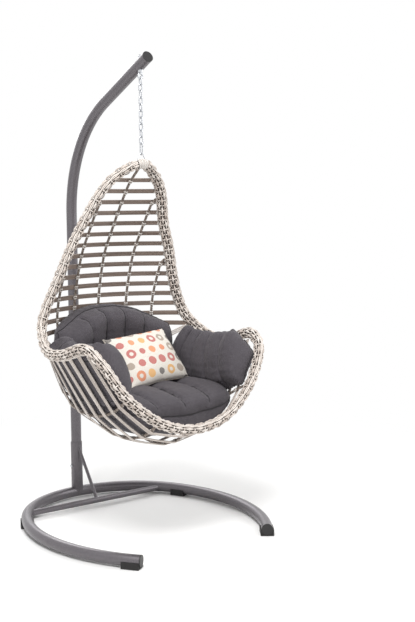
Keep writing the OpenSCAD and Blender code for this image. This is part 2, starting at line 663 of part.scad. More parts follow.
// ---- eye bolt and chain ----
module bow(r, w, a0, a1) {
    rotate([90, 0, 0])
        rotate([0, 0, a0])
            rotate_extrude(angle = a1 - a0)
                translate([r, 0])
                    circle(d = w);
}
module eye_bolt() {
    color(c_zinc)
    translate([0, hang_y, 0]) {
        translate([0, 0, eye_top]) cylinder(d = eye_wire, h = washer_hi + 9.5 - eye_top);
        translate([0, 0, eye_top - eye_r]) bow(eye_r, eye_wire, 0, 360);
    }
}
module eye_nut() {
    color(c_zinc)
    translate([0, hang_y, washer_hi])
        difference() {
            cylinder(d = hex_d, h = 6.5, $fn = 6);
            translate([0, 0, -1]) cylinder(d = bolt_d + 0.1, h = 9);
        }
}
module eye_washers() {
    color(c_zinc)
    difference() {
        translate([0, hang_y, washer_lo]) cylinder(d = washer_d, h = washer_hi - washer_lo);
        translate([0, mast_y - bend_r * (1 - cos(bend_a)), bend_z + bend_r * sin(bend_a)])
            rotate([bend_a, 0, 0])
                cylinder(r = tube_r, h = reach_l);
        translate([0, hang_y, washer_lo - 1]) cylinder(d = eye_wire + 2 * gap, h = washer_hi - washer_lo + 2);
    }
}
module link(n) {
    top = link_top(n) - link_r;
    low = link_top(n) - link_l + link_r;
    color(c_zinc)
    translate([0, hang_y, 0])
        rotate([0, 0, n % 2 == 1 ? 90 : 0]) {
            translate([0, 0, top]) bow(link_r, wire, 0, 180);
            translate([0, 0, low]) bow(link_r, wire, 180, 360);
            for (x = [-link_r, link_r]) translate([x, 0, low]) cylinder(d = wire, h = top - low);
        }
}
hook_a = hook_top - hook_r;
hook_b = hook_low + hook_r;
stub = 4;
pivot_z = hook_a - stub - 3.4;
tongue_t = 2.4;
tongue_r = 2.6;
pin_d = 2;
module snap_hook() {
    color(c_zinc)
    translate([0, hang_y, 0])
        difference() {
            union() {
                rotate([0, 0, 90]) translate([0, 0, hook_a]) bow(hook_r, wire, 0, 180);
                rotate([0, 0, 90]) translate([0, 0, hook_b]) bow(hook_r, wire, 180, 360);
                translate([0, hook_r, hook_b]) cylinder(d = wire, h = hook_a - hook_b);
                translate([0, -hook_r, hook_b]) cylinder(d = wire, h = stub);
                translate([0, -hook_r, hook_a - stub]) cylinder(d = wire, h = stub);
                translate([-tongue_t / 2, -hook_r, pivot_z]) rotate([0, 90, 0]) cylinder(r = tongue_r, h = tongue_t);
                translate([-tongue_t / 2, -hook_r - tongue_r, pivot_z])
                    cube([tongue_t, 2 * tongue_r, hook_a - stub - pivot_z + 0.5]);
            }
            translate([-5, -hook_r, pivot_z]) rotate([0, 90, 0]) cylinder(d = pin_d, h = 10);
        }
}
module hook_gate() {
    low = hook_b + stub + 0.6;
    color(c_zinc)
    translate([0, hang_y - hook_r, 0])
        difference() {
            intersection() {
                translate([0, 0, low]) cylinder(d = wire, h = pivot_z + 4 - low);
                union() {
                    translate([-5, 0, pivot_z]) rotate([0, 90, 0]) cylinder(d = wire, h = 10);
                    translate([-5, -5, low - 1]) cube([10, 10, pivot_z - low + 1]);
                }
            }
            translate([-tongue_t / 2 - 0.4, -5, pivot_z - 3.2]) cube([tongue_t + 0.8, 10, 10]);
            translate([-5, 0, pivot_z]) rotate([0, 90, 0]) cylinder(d = pin_d + 0.6, h = 10);
        }
}
module gate_pin() {
    color(c_zinc)
    translate([-wire / 2, hang_y - hook_r, pivot_z])
        rotate([0, 90, 0])
            cylinder(d = pin_d, h = wire);
}

// ---- hanger and rim ----
knee_r = 10;
knee_x = loop_foot_x - knee_r + knee_r * cos(loop_lean);
leg_l = (knee_x - loop_r * cos(loop_lean)) / sin(loop_lean);
knee_z = loop_top - loop_r + (loop_r - knee_r) * sin(loop_lean) - leg_l * cos(loop_lean);
leg_seat = rim_at(0.2)[2] + core_r;
module hanger_loop() {
    color(c_zinc)
    translate([0, hang_y, 0]) {
        translate([0, 0, loop_top - loop_r]) bow(loop_r, wire, loop_lean, 180 - loop_lean);
        for (m = [0, 1])
            mirror([m, 0, 0]) {
                translate([loop_r * cos(loop_lean), 0, loop_top - loop_r + loop_r * sin(loop_lean)])
                    rotate([0, 180 - loop_lean, 0])
                        translate([0, 0, -gap]) cylinder(d = wire - 0.02, h = leg_l + 2 * gap);
                translate([loop_foot_x - knee_r, 0, knee_z]) bow(knee_r, wire, 0, loop_lean);
                translate([loop_foot_x, 0, leg_seat]) cylinder(d = wire, h = knee_z - leg_seat);
            }
    }
}
function turn(s) = s < 0 ? s + rim_n : s;
module hanger_binding() {
    at_s = [for (k = [0:6]) turn(-bind_s + bind_s * k / 3)];
    color(c_weave)
    sleeve([for (q = at_s) rim_oval(q, rim_w / 2, rim_t / 2 + 2, rim_sides)],
        [for (q = at_s) rim_oval(q, bore_r + 1.4, bore_r + 1.4, rim_sides)], rim_sides);
}
module rim_core() {
    rows = [for (i = [0:rim_n * rim_steps - 1]) rim_oval(i / rim_steps, core_r, core_r, rim_sides)];
    color(c_steel) skin(rows, rim_sides, true);
}
module rim_weave() {
    at_s = concat([weave_s], [for (i = [2:rim_n * rim_steps - 2]) i / rim_steps], [rim_n - weave_s]);
    color(c_weave)
    sleeve([for (q = at_s) rim_oval(q, rim_w / 2, rim_t / 2, rim_sides)],
        [for (q = at_s) rim_oval(q, bore_r, bore_r, rim_sides)], rim_sides);
}

// ---- one module for each node ----
module link_01() { link(1); }
module link_02() { link(2); }
module link_03() { link(3); }
module link_04() { link(4); }
module link_05() { link(5); }
module link_06() { link(6); }
module link_07() { link(7); }
module link_08() { link(8); }
module link_09() { link(9); }
module link_10() { link(10); }
module rib_left_outer() { color(c_weave) mirror([1, 0, 0]) rib(2); }
module rib_left_inner() { color(c_weave) mirror([1, 0, 0]) rib(1); }
module rib_middle() { color(c_weave) rib(0); }
module rib_right_inner() { color(c_weave) rib(1); }
module rib_right_outer() { color(c_weave) rib(2); }
module slat_01() { slat(1); }
module slat_02() { slat(2); }
module slat_03() { slat(3); }
module slat_04() { slat(4); }
module slat_05() { slat(5); }
module slat_06() { slat(6); }
module slat_07() { slat(7); }
module slat_08() { slat(8); }
module slat_09() { slat(9); }
module slat_10() { slat(10); }
module slat_11() { slat(11); }
module slat_12() { slat(12); }
module slat_13() { slat(13); }
module slat_14() { slat(14); }
module slat_15() { slat(15); }
module strip_pair(j) {
    color(c_strip) {
        strip(j);
        strip(j + 1);
    }
}
module strips_16_17() { strip_pair(1); }
module strips_18_19() { strip_pair(3); }
module strips_20_21() { strip_pair(5); }
module strips_22_23() { strip_pair(7); }
module strips_24_25() { strip_pair(9); }
module seat_cushion() { color(c_cloth) seat_form(); }
module back_cushion() { color(c_cloth) back_form(12.7, 17.52, 2.38, 150, 5, 12, 2.1); }
module arm_cushion_right() { color(c_cloth) arm_form(17.6, 25.65, 2.262, 3, 108, 40, 5, 10); }
module arm_cushion_left() { color(c_cloth) mirror([1, 0, 0]) arm_form(17.6, 25.65, 2.262, 3, 108, 40, 5, 10); }
module throw_pillow() {
    color(c_pillow)
    translate(pillow_at)
        rotate([0, 0, pillow_turn])
            rotate([90 - pillow_tilt, 0, 0])
                rotate([0, 0, pillow_roll])
                    pillow_form();
}

base_ring();
cross_bar();
strut();
post_socket();
mast();
mast_cap();
end_plugs();
foot_pads();
socket_bolt();
socket_nut();
eye_bolt();
eye_nut();
eye_washers();
link_01();
link_02();
link_03();
link_04();
link_05();
link_06();
link_07();
link_08();
link_09();
link_10();
snap_hook();
hook_gate();
gate_pin();
hanger_loop();
hanger_binding();
rim_core();
rim_weave();
rib_left_outer();
rib_left_inner();
rib_middle();
rib_right_inner();
rib_right_outer();
slat_01();
slat_02();
slat_03();
slat_04();
slat_05();
slat_06();
slat_07();
slat_08();
slat_09();
slat_10();
slat_11();
slat_12();
slat_13();
slat_14();
slat_15();
strips_16_17();
strips_18_19();
strips_20_21();
strips_22_23();
strips_24_25();
seat_cushion();
back_cushion();
arm_cushion_left();
arm_cushion_right();
throw_pillow();
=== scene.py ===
import math
import bpy
import numpy as np
from mathutils import Matrix, Vector
from mathutils.bvhtree import BVHTree
from mathutils.kdtree import KDTree


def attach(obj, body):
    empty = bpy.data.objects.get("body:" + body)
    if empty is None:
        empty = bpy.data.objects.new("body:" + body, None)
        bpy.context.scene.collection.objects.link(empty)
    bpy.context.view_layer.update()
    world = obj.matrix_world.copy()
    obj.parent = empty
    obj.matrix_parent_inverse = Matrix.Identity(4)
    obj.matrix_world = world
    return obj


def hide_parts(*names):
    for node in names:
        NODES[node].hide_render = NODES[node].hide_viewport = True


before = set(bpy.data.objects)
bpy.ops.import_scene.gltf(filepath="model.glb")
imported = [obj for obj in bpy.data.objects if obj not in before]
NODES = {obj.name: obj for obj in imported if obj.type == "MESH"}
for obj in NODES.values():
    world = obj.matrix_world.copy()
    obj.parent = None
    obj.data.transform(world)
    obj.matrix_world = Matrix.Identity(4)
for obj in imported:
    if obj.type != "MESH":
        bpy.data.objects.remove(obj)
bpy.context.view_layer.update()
rng = np.random.default_rng(7)

# ---------------------------------------------------------------- sizes and chosen points, mm, as in the source
RIM_W, STRIP_T, STRIP_W, RIB_D, GAP, SOFT_GAP = 46, 4, 20, 9, 0.3, 0.35
SLAT_TOP, SLAT_PITCH, SLATS_N, LOW_N = 65, 46, 15, 10
ROUND_K = 1 / math.cos(math.pi / 10)
RIB_X, FIRST_SLAT = (0, 136, 248), (1, 3, 9)
RIB_TOP_S, RIB_LOW_S = (0, 2.08, 4.25), (14, 12.86, 11.97)
LOW_F = (0.10, 0.205, 0.315, 0.42, 0.51, 0.595, 0.675, 0.755, 0.835, 0.912, 0.96)
PANEL = (0, 0.16, 0.5, 0.84)
SEAT_HX, SEAT_FRONT, SEAT_REAR, SEAT_FLAT, SEAT_LEVEL = 282, -322, 262, 1096, 958
APEX = np.array([0.0, -84.2163, 1546.0565])
RIM = [
    ((0, 0, 0), (0, .82, -.57)), ((84, 38, -38), (-.45, .80, -.40)), ((150, 80, -114), (-.70, .65, -.30)),
    ((205, 142, -246), (-.80, .60, 0)), ((250, 170, -351), (-.80, .60, 0)),
    ((300, 208, -496), (-.78, .62, -.05)), ((342, 225, -601), (-.75, .60, -.25)),
    ((376, 202, -684), (-.62, .35, -.70)), ((414, 88, -760), (-.50, .08, -.86)),
    ((423, -52, -760), (-.48, 0, -.88)), ((410, -204, -722), (-.46, 0, -.89)),
    ((385, -294, -778), (-.50, .30, -.81)), ((300, -336, -914), (-.32, .62, -.72)),
    ((160, -364, -1022), (-.10, .80, -.59)), ((0, -372, -1058), (0, .87, -.49))]
BACK_LINE = np.array([
    (0, 0, 0), (0, 0, 0), (0, 92, -66), (0, 181, -178), (0, 244, -272), (0, 307, -369),
    (0, 347, -484), (0, 371, -595), (0, 379, -709), (0, 378, -790)], float)
LOW_LINES = [
    [(0, 370, -826), (0, 334, -939), (0, 270, -1031), (0, 168, -1112), (0, 48, -1160),
     (0, -68, -1175), (0, -150, -1162), (0, -219, -1140), (0, -292, -1103), (0, -372, -1058)],
    [(142, 348, -826), (147, 310, -931), (152, 246, -1016), (156, 148, -1084), (159, 31, -1121),
     (160, -43, -1127), (161, -106, -1124), (163, -177, -1112), (168, -252, -1086),
     (175, -322, -1050), (179, -365, -1010)],
    [(258, 300, -806), (266, 278, -891), (272, 230, -954), (276, 168, -996), (279, 104, -1018),
     (280, 38, -1027), (281, -19, -1029), (283, -92, -1019), (285, -135, -1008), (288, -189, -990),
     (292, -244, -964), (297, -329, -914)]]
PILLOW_AT = (18, APEX[1] + 93.56, APEX[2] - 801.32)
PILLOW_TILT, PILLOW_TURN, PILLOW_ROLL = 38, 4, -3
PILLOW_W, PILLOW_H = 330, 270
# How the pillow lies in the photograph against its solid: moved in metres, turned in its plane, a little wider.
PILLOW_MOVE, PILLOW_SPIN, PILLOW_WIDER = Vector((0.020, -0.052, -0.026)), 7.5, 1.06


# ---------------------------------------------------------------- small tools
def unit(v):
    v = np.asarray(v, float)
    return v / np.maximum(np.linalg.norm(v, axis=-1, keepdims=True), 1e-12)


def crom(a, b, c, d, t):
    return 0.5 * (2 * b + (c - a) * t + (2 * a - 5 * b + 4 * c - d) * t * t + (3 * b - a - 3 * c + d) * t ** 3)


MIR = np.array([-1.0, 1.0, 1.0])


def rim_row(i):
    m = i % 28
    if m <= 14:
        return APEX + np.array(RIM[m][0], float), np.array(RIM[m][1], float)
    return APEX + MIR * np.array(RIM[28 - m][0], float), MIR * np.array(RIM[28 - m][1], float)


def rim_at(s, k=0):
    i = math.floor(s)
    return crom(*[rim_row(i + j)[k] for j in (-1, 0, 1, 2)], s - i)


# ---------------------------------------------------------------- the shell's lines, as in the source
def lookup(x, rows):
    """Value at x in rows of (key, value), held at both ends."""
    rows = sorted(rows)
    return float(np.interp(x, [r[0] for r in rows], [r[1] for r in rows]))


def rim_way(s):
    return unit(rim_at(s + 0.02) - rim_at(s - 0.02))


def rim_in(s):
    u, w = rim_at(s, 1), rim_way(s)
    return unit(u - (u @ w) * w)


def line_at(p, s):
    i, m = int(math.floor(s)), len(p) - 1
    return crom(p[max(i - 1, 0)], p[min(i, m)], p[min(i + 1, m)], p[min(i + 2, m)], s - i)


BACK_Y = [(q[2], q[1]) for q in (APEX + line_at(BACK_LINE, 8.9 - 0.1 * n) for n in range(80))]
RIM_SIDE = [rim_at(7.6 - 0.1 * n) for n in range(74)]
RIM_X, RIM_Y = [(q[2], q[0]) for q in RIM_SIDE], [(q[2], q[1]) for q in RIM_SIDE]


def slat_z(k):
    return APEX[2] - SLAT_TOP - SLAT_PITCH * (k - 1)


def slat_mid(z):
    return lookup(z, BACK_Y)


def slat_r(z):
    x, g = lookup(z, RIM_X), slat_mid(z) - lookup(z, RIM_Y)
    return (x * x + g * g) / (2 * g)


def slat_lean(z):
    return math.atan((slat_mid(z - 8) - slat_mid(z + 8)) / 16)


def slat_half(z):
    """Half the angle of a slat, in degrees, to where it stops at the weave."""
    x, y, r = lookup(z, RIM_X), lookup(z, RIM_Y), slat_r(z)
    dx, dy = (lookup(z - 8, t) - lookup(z + 8, t) for t in (RIM_X, RIM_Y))
    m = math.hypot(dx, dy) / 16
    e = (RIM_W / 2 + GAP) * math.sqrt(1 + m * m * 0.35) + STRIP_W / 2 * m
    return math.degrees(math.atan2(x, y - slat_mid(z) + r)) - e / r * 57.3


def slat_cross(k, x):
    """Place, inward way, width way and mitre where a rib at x crosses slat k."""
    z = slat_z(k)
    r, t = slat_r(z), slat_lean(z)
    f = math.asin(x / r)
    out, up = np.array([math.sin(f), math.cos(f), 0]), np.array([0, 0, 1.0])
    return (np.array([x, slat_mid(z) - r + r * math.cos(f), z]), -out * math.cos(t) - up * math.sin(t),
            out * math.sin(t) - up * math.cos(t), 1.0)


def low_curve(i):
    """Rib i from the lowest slat to the front, as places and lengths along it."""
    a = slat_cross(SLATS_N, RIB_X[i])[0]
    p = [a + (0, 0, 60), a] + [APEX + q for q in np.array(LOW_LINES[i], float)]
    c = np.array([line_at(p, 1 + 0.2 * n) for n in range(5 * (len(p) - 2) + 1)])
    return c, np.r_[0, np.cumsum(np.linalg.norm(np.diff(c, axis=0), axis=1))]


LOW_RIB = [low_curve(i) for i in range(3)]


def along(i, f):
    c, d = LOW_RIB[i]
    return np.array([np.interp(f * d[-1], d, c[:, k]) for k in range(3)])


def rim_s(j):
    return 7.13 + 0.16 * j if j <= 3 else 7.78 + 0.36 * (j - 4) if j <= 10 else 11.1


def low_pt(j, i):
    p = rim_at(rim_s(j)) if abs(i) == 3 else along(abs(i), LOW_F[j - 1])
    return p * MIR if i < 0 else p


def low_w(j, i):
    a, f = abs(i), LOW_F[j - 1]
    w = rim_way(rim_s(j)) if a == 3 else unit(along(a, f + 0.015) - along(a, f - 0.015))
    return w * MIR if i < 0 else w


def low_cross(j, i):
    """Place, inward way, width way and mitre where strip j meets line i, from -3 to 3."""
    p = low_pt(j, i)
    e1 = unit(p - low_pt(j, i - 1)) if i > -3 else unit(low_pt(j, i + 1) - p)
    e2 = unit(low_pt(j, i + 1) - p) if i < 3 else e1
    w, e = low_w(j, i), unit(e1 + e2)
    w = unit(w - (w @ e) * e)
    return p, unit(np.cross(w, e)), w, math.sqrt((1 + e1 @ e2) / 2)


def rib_pt(c, extra):
    return c[0] + c[1] * (extra / c[3])


def rim_end(s, p, h):
    """Where a bar or strip that comes from p stops at the weave, half its thickness being h."""
    c = rim_at(s)
    d = unit(p - c)
    k = d @ rim_in(s)
    return c + d * ((RIM_W / 2 / ROUND_K + GAP) / k + h * math.sqrt(1 - k * k) / k)


def rib_cross(i):
    return ([slat_cross(k, RIB_X[i]) for k in range(FIRST_SLAT[i], SLATS_N + 1)]
            + [low_cross(j, i) for j in range(1, LOW_N + 1)])


def rib_line(i):
    q, inside = rib_cross(i), STRIP_T / 2 + RIB_D / 2 + GAP * 0.5
    n = len(q)
    c = [rib_pt(q[k], inside + (1.6 if i > 0 and k in (0, n - 1) else 0)) for k in range(n)]
    return np.round([rim_end(RIB_TOP_S[i], c[0], RIB_D / 2), *c, rim_end(RIB_LOW_S[i], c[-1], RIB_D / 2)], 1)


def strip_keys(j):
    """Strip j from the middle to the right rim: place, inward way and width way in one row."""
    rows = [np.concatenate(low_cross(j, i)[:3]) for i in range(4)]
    p = low_pt(j, 2)
    e = rim_end(rim_s(j), p, STRIP_T / 2)
    rows[3][:3] = e + unit(p - e) * {1: 6, 10: 7.5}.get(j, 0.5)
    rows = np.array(rows)
    return np.hstack([np.round(rows[:, :3], 1), np.round(rows[:, 3:], 3)])


def slat_row(k):
    z = slat_z(k)
    return np.round([z, slat_r(z), slat_mid(z) - slat_r(z), slat_half(z), math.degrees(slat_lean(z))], 2)


# ---------------------------------------------------------------- seams and borders of the cushions
RIB_DEPTH = STRIP_T / 2 + RIB_D + GAP * 0.5 + SOFT_GAP


def bed_at(q, i):
    """Inner face of the shell at hoop q and line i, and the inward way there."""
    side = -1 if i < 0 else 1
    if q > SLATS_N:
        c = low_cross(q - SLATS_N, i)
    else:
        z = slat_z(q)
        x = RIB_X[abs(i)] if abs(i) < 3 else slat_r(z) * math.sin(math.radians(slat_half(z))) - 6
        c = slat_cross(q, side * x)
    if abs(i) < 3:
        return rib_pt(c, RIB_DEPTH), c[1]
    p = c[0] + c[1] * (STRIP_T / 2 + SOFT_GAP)
    if q > SLATS_N:
        p = p + unit(low_pt(q - SLATS_N, side * 2) - c[0]) * (RIM_W / 2 + 5)
    return p, c[1]


BED = np.array([[bed_at(q, i) for i in range(-3, 4)] for q in range(11, 27)])


def mix(g, q, v):
    """Place (g = 0) or inward way (g = 1) of the bed between its hoops and lines."""
    a, b = min(math.floor(q), 25), min(math.floor(v), 2)
    s, t, m = q - a, v - b, BED[:, :, g]
    r, c = a - 11, b + 3
    return (1 - s) * ((1 - t) * m[r, c] + t * m[r, c + 1]) + s * ((1 - t) * m[r + 1, c] + t * m[r + 1, c + 1])


def ease(k, n):
    return (1 - math.cos(math.pi * k / n)) / 2


def swell(k, n, power):
    return math.sin(math.pi * k / n) ** power if 0 < k < n else 0.0


def col(panels, k):
    return (k // 4 + PANEL[k % 4]) / panels


def puff(panels, k, dip):
    """Height factor of column k: low at a channel and at the ends, full between."""
    if k in (0, 4 * panels):
        return 0.42
    if k % 4 == 0:
        return dip
    return 1 if k % 4 == 2 else 0.86 if k in (1, 4 * panels - 1) else 0.95


class Pad:
    """Outer and inner face of one cushion, as functions of row a and column k."""
    panels, rows = 5, 12

    def seams(self):
        channels = range(0, 4 * self.panels + 1, 4)
        return [np.round([self.hi(a, k) for a in range(self.rows + 1)], 1) for k in channels]

    def border(self, share=0.5):
        """Closed line round the pad, at a share of the way from the lower to the upper face."""
        n, m = self.rows, 4 * self.panels
        ring = ([(0, k) for k in range(m + 1)] + [(a, m) for a in range(1, n + 1)]
                + [(n, k) for k in range(m - 1, -1, -1)] + [(a, 0) for a in range(n - 1, 0, -1)])
        return np.round([(1 - share) * self.lo(a, k) + share * self.hi(a, k) for a, k in ring], 1)


class BackPad(Pad):
    q0, q1, v1, thick, arch = 12.7, 17.52, 2.38, 150, 2.1

    def hoop(self, s, t):
        top_q = self.q0 + self.arch * (2 * t - 1) ** 2
        return top_q + (self.q1 - top_q) * s

    def lo(self, a, k):
        t = col(self.panels, k)
        return mix(0, self.hoop(ease(a, self.rows), t), self.v1 * (2 * t - 1))

    def hi(self, a, k):
        t = col(self.panels, k)
        q, v = self.hoop(0.02 + 0.96 * ease(a, self.rows), t), self.v1 * 0.985 * (2 * t - 1)
        f = (0.34 + 0.66 * swell(a, self.rows, 0.6)) * (1 - 0.24 * a / self.rows)
        return mix(0, q, v) + unit(mix(1, q, v)) * (self.thick * f * puff(self.panels, k, 0.84))


class ArmPad(Pad):
    rows, q0, q1, v0, v1, thick, rise = 10, 17.6, 25.65, 2.262, 3, 108, 40

    def lo(self, a, k):
        q = self.q0 + (self.q1 - self.q0) * col(self.panels, k)
        return mix(0, q, self.v1 + (self.v0 - self.v1) * ease(a, self.rows))

    def hi(self, a, k):
        q = self.q0 + (self.q1 - self.q0) * (0.015 + 0.97 * col(self.panels, k))
        v = self.v1 + (self.v0 - self.v1) * (0.02 + 0.96 * ease(a, self.rows))
        p, f = puff(self.panels, k, 0.84), 0.30 + 0.70 * swell(a, self.rows, 0.6)
        over = self.rise * math.sin(math.pi * math.sqrt(a / self.rows)) * p
        return mix(0, q, v) + unit(mix(1, q, v)) * (self.thick * f * p) + np.array([0, 0, over])


class SeatPad(Pad):
    panels, rows = 4, 14

    def __init__(self):
        rest = [[rib_pt(c, RIB_DEPTH) for c in rib_cross(i)[-LOW_N - 1:]] for i in range(3)]
        edge = [rim_at(12 - 0.25 * n) for n in range(25)]
        self.zs = [[(p[1], p[2]) for p in r] for r in rest + [edge]]
        self.xs = [[(p[1], p[0]) for p in r] for r in rest] + [[(p[1], p[0] - RIM_W / 2) for p in edge]]

    def bowl(self, x, y):
        at = [0] + [lookup(y, r) for r in self.xs[1:]]
        return float(np.interp(abs(x), at, [lookup(y, r) for r in self.zs]))

    def plan(self, a, k, s):
        u, v = 2 * col(self.panels, k) - 1, 2 * ease(a, self.rows) - 1
        yc, hy = APEX[1] + (SEAT_FRONT + SEAT_REAR) / 2 + 18, (SEAT_REAR - SEAT_FRONT) / 2
        return s * SEAT_HX * u * math.sqrt(1 - 0.30 * v * v), yc - s * hy * v * math.sqrt(1 - 0.34 * u * u)

    def lo(self, a, k):
        x, y = self.plan(a, k, 0.985)
        return np.array([x, y, max(self.bowl(x, y), APEX[2] - SEAT_FLAT)])

    def hi(self, a, k):
        x, y = self.plan(a, k, 1)
        fall = min(max((APEX[1] - y - 130) / 190, 0), 1)
        f = swell(a, self.rows, 0.5) * puff(self.panels, k, 0.72)
        return np.array([x, y, max(APEX[2] - SEAT_LEVEL - 24 * fall * fall + 42 * f, self.bowl(x, y) + 34)])


BACK_PAD, ARM_PAD, SEAT_PAD = BackPad(), ArmPad(), SeatPad()


# ---------------------------------------------------------------- paths and strands
def resample(p, step, closed=False):
    """Points a smooth distance apart on a polyline."""
    p = np.asarray(p, float)
    if closed:
        p = np.vstack([p, p[:1]])
    d = np.r_[0, np.cumsum(np.linalg.norm(np.diff(p, axis=0), axis=1))]
    n = max(2, int(round(d[-1] / step)) + 1)
    q = np.linspace(0, d[-1], n)
    out = np.stack([np.interp(q, d, p[:, k]) for k in range(3)], 1)
    return out[:-1] if closed else out


def smooth(p, closed=False, sub=8):
    """Catmull-Rom through the points."""
    p = np.asarray(p, float)
    n = len(p)
    g = (lambda i: p[i % n]) if closed else (lambda i: p[min(max(i, 0), n - 1)])
    spans = n if closed else n - 1
    out = [crom(g(i - 1), g(i), g(i + 1), g(i + 2), k / sub) for i in range(spans) for k in range(sub)]
    if not closed:
        out.append(p[-1])
    return np.array(out)


def frames(p, up, closed=False):
    """Unit tangent, side and up for each point of a path."""
    if closed:
        t = np.roll(p, -1, 0) - np.roll(p, 1, 0)
    else:
        t = np.gradient(p, axis=0)
    t = unit(t)
    up = np.broadcast_to(np.asarray(up, float), p.shape)
    u = unit(up - (up * t).sum(1, keepdims=True) * t)
    return t, np.cross(t, u), u


class Batch:
    """Gathers swept strands into one mesh, with a tone for each strand and a place along it."""

    def __init__(self):
        self.v, self.f, self.tone, self.lay, self.n = [], [], [], [], 0

    def sweep(self, p, side, up, half_w, half_t, sides=6, tone=None, closed=False, square=False):
        p = np.asarray(p, float)
        m = len(p)
        hw = np.broadcast_to(np.asarray(half_w, float), (m,))[:, None, None]
        ht = np.broadcast_to(np.asarray(half_t, float), (m,))[:, None, None]
        if square:
            pr = np.array([(1, .55), (.8, 1), (-.8, 1), (-1, .55), (-1, -.55), (-.8, -1), (.8, -1), (1, -.55)])
        else:
            a = 2 * math.pi * (np.arange(sides) + 0.5) / sides
            pr = np.stack([np.cos(a), np.sin(a)], 1)
        k = len(pr)
        ring = p[:, None] + side[:, None] * hw * pr[None, :, :1] + up[:, None] * ht * pr[None, :, 1:]
        self.v.append(ring.reshape(-1, 3))
        d = np.r_[0, np.cumsum(np.linalg.norm(np.diff(p, axis=0), axis=1))]
        around = np.broadcast_to(np.arange(k) / k, (m, k))
        reach, strand = np.broadcast_to(d[:, None], (m, k)), np.full((m, k), self.n * 0.37)
        self.lay.append(np.stack([reach, around * 10, strand], 2).reshape(-1, 3))
        tone = rng.random() if tone is None else tone
        tone = np.asarray(tone, float).reshape(-1, 1) if np.ndim(tone) else tone
        self.tone.append(np.broadcast_to(tone, (m, k)).reshape(-1))
        i = np.arange(m if closed else m - 1)[:, None]
        j = np.arange(k)[None]
        i2, j2 = (i + 1) % m, (j + 1) % k
        b = self.n
        quads = [i * k + j, i * k + j2, i2 * k + j2, i2 * k + j]
        self.f.append(b + np.stack(quads, 2).reshape(-1, 4))
        self.n += m * k
        if not closed:
            for r, flip in ((0, 1), (m - 1, 0)):
                c = [self.n + q for q in range(k)]
                self.v.append(ring[r])
                self.lay.append(np.zeros((k, 3)))
                self.tone.append(np.full(k, 0.25))
                self.n += k
                self.f.append(np.array([c[::-1] if flip else c]))

    def piece(self, name, mat, shade=True):
        v = np.vstack(self.v) / 1000.0
        me = bpy.data.meshes.new(name)
        faces = [tuple(int(q) for q in r) for f in self.f for r in f]
        me.from_pydata([tuple(r) for r in v], [], faces)
        a = me.attributes.new("tone", "FLOAT", "POINT")
        a.data.foreach_set("value", np.concatenate(self.tone).astype(np.float32))
        a = me.attributes.new("lay", "FLOAT_VECTOR", "POINT")
        a.data.foreach_set("vector", np.vstack(self.lay).astype(np.float32).ravel())
        me.update()
        me.materials.append(mat)
        me.polygons.foreach_set("use_smooth", [shade] * len(me.polygons))
        ob = bpy.data.objects.new(name, me)
        bpy.context.scene.collection.objects.link(ob)
        return ob


# ---------------------------------------------------------------- materials
def lin(r, g, b):
    f = lambda c: (c / 255) / 12.92 if c / 255 <= 0.04045 else ((c / 255 + 0.055) / 1.055) ** 2.4
    return (f(r), f(g), f(b), 1.0)


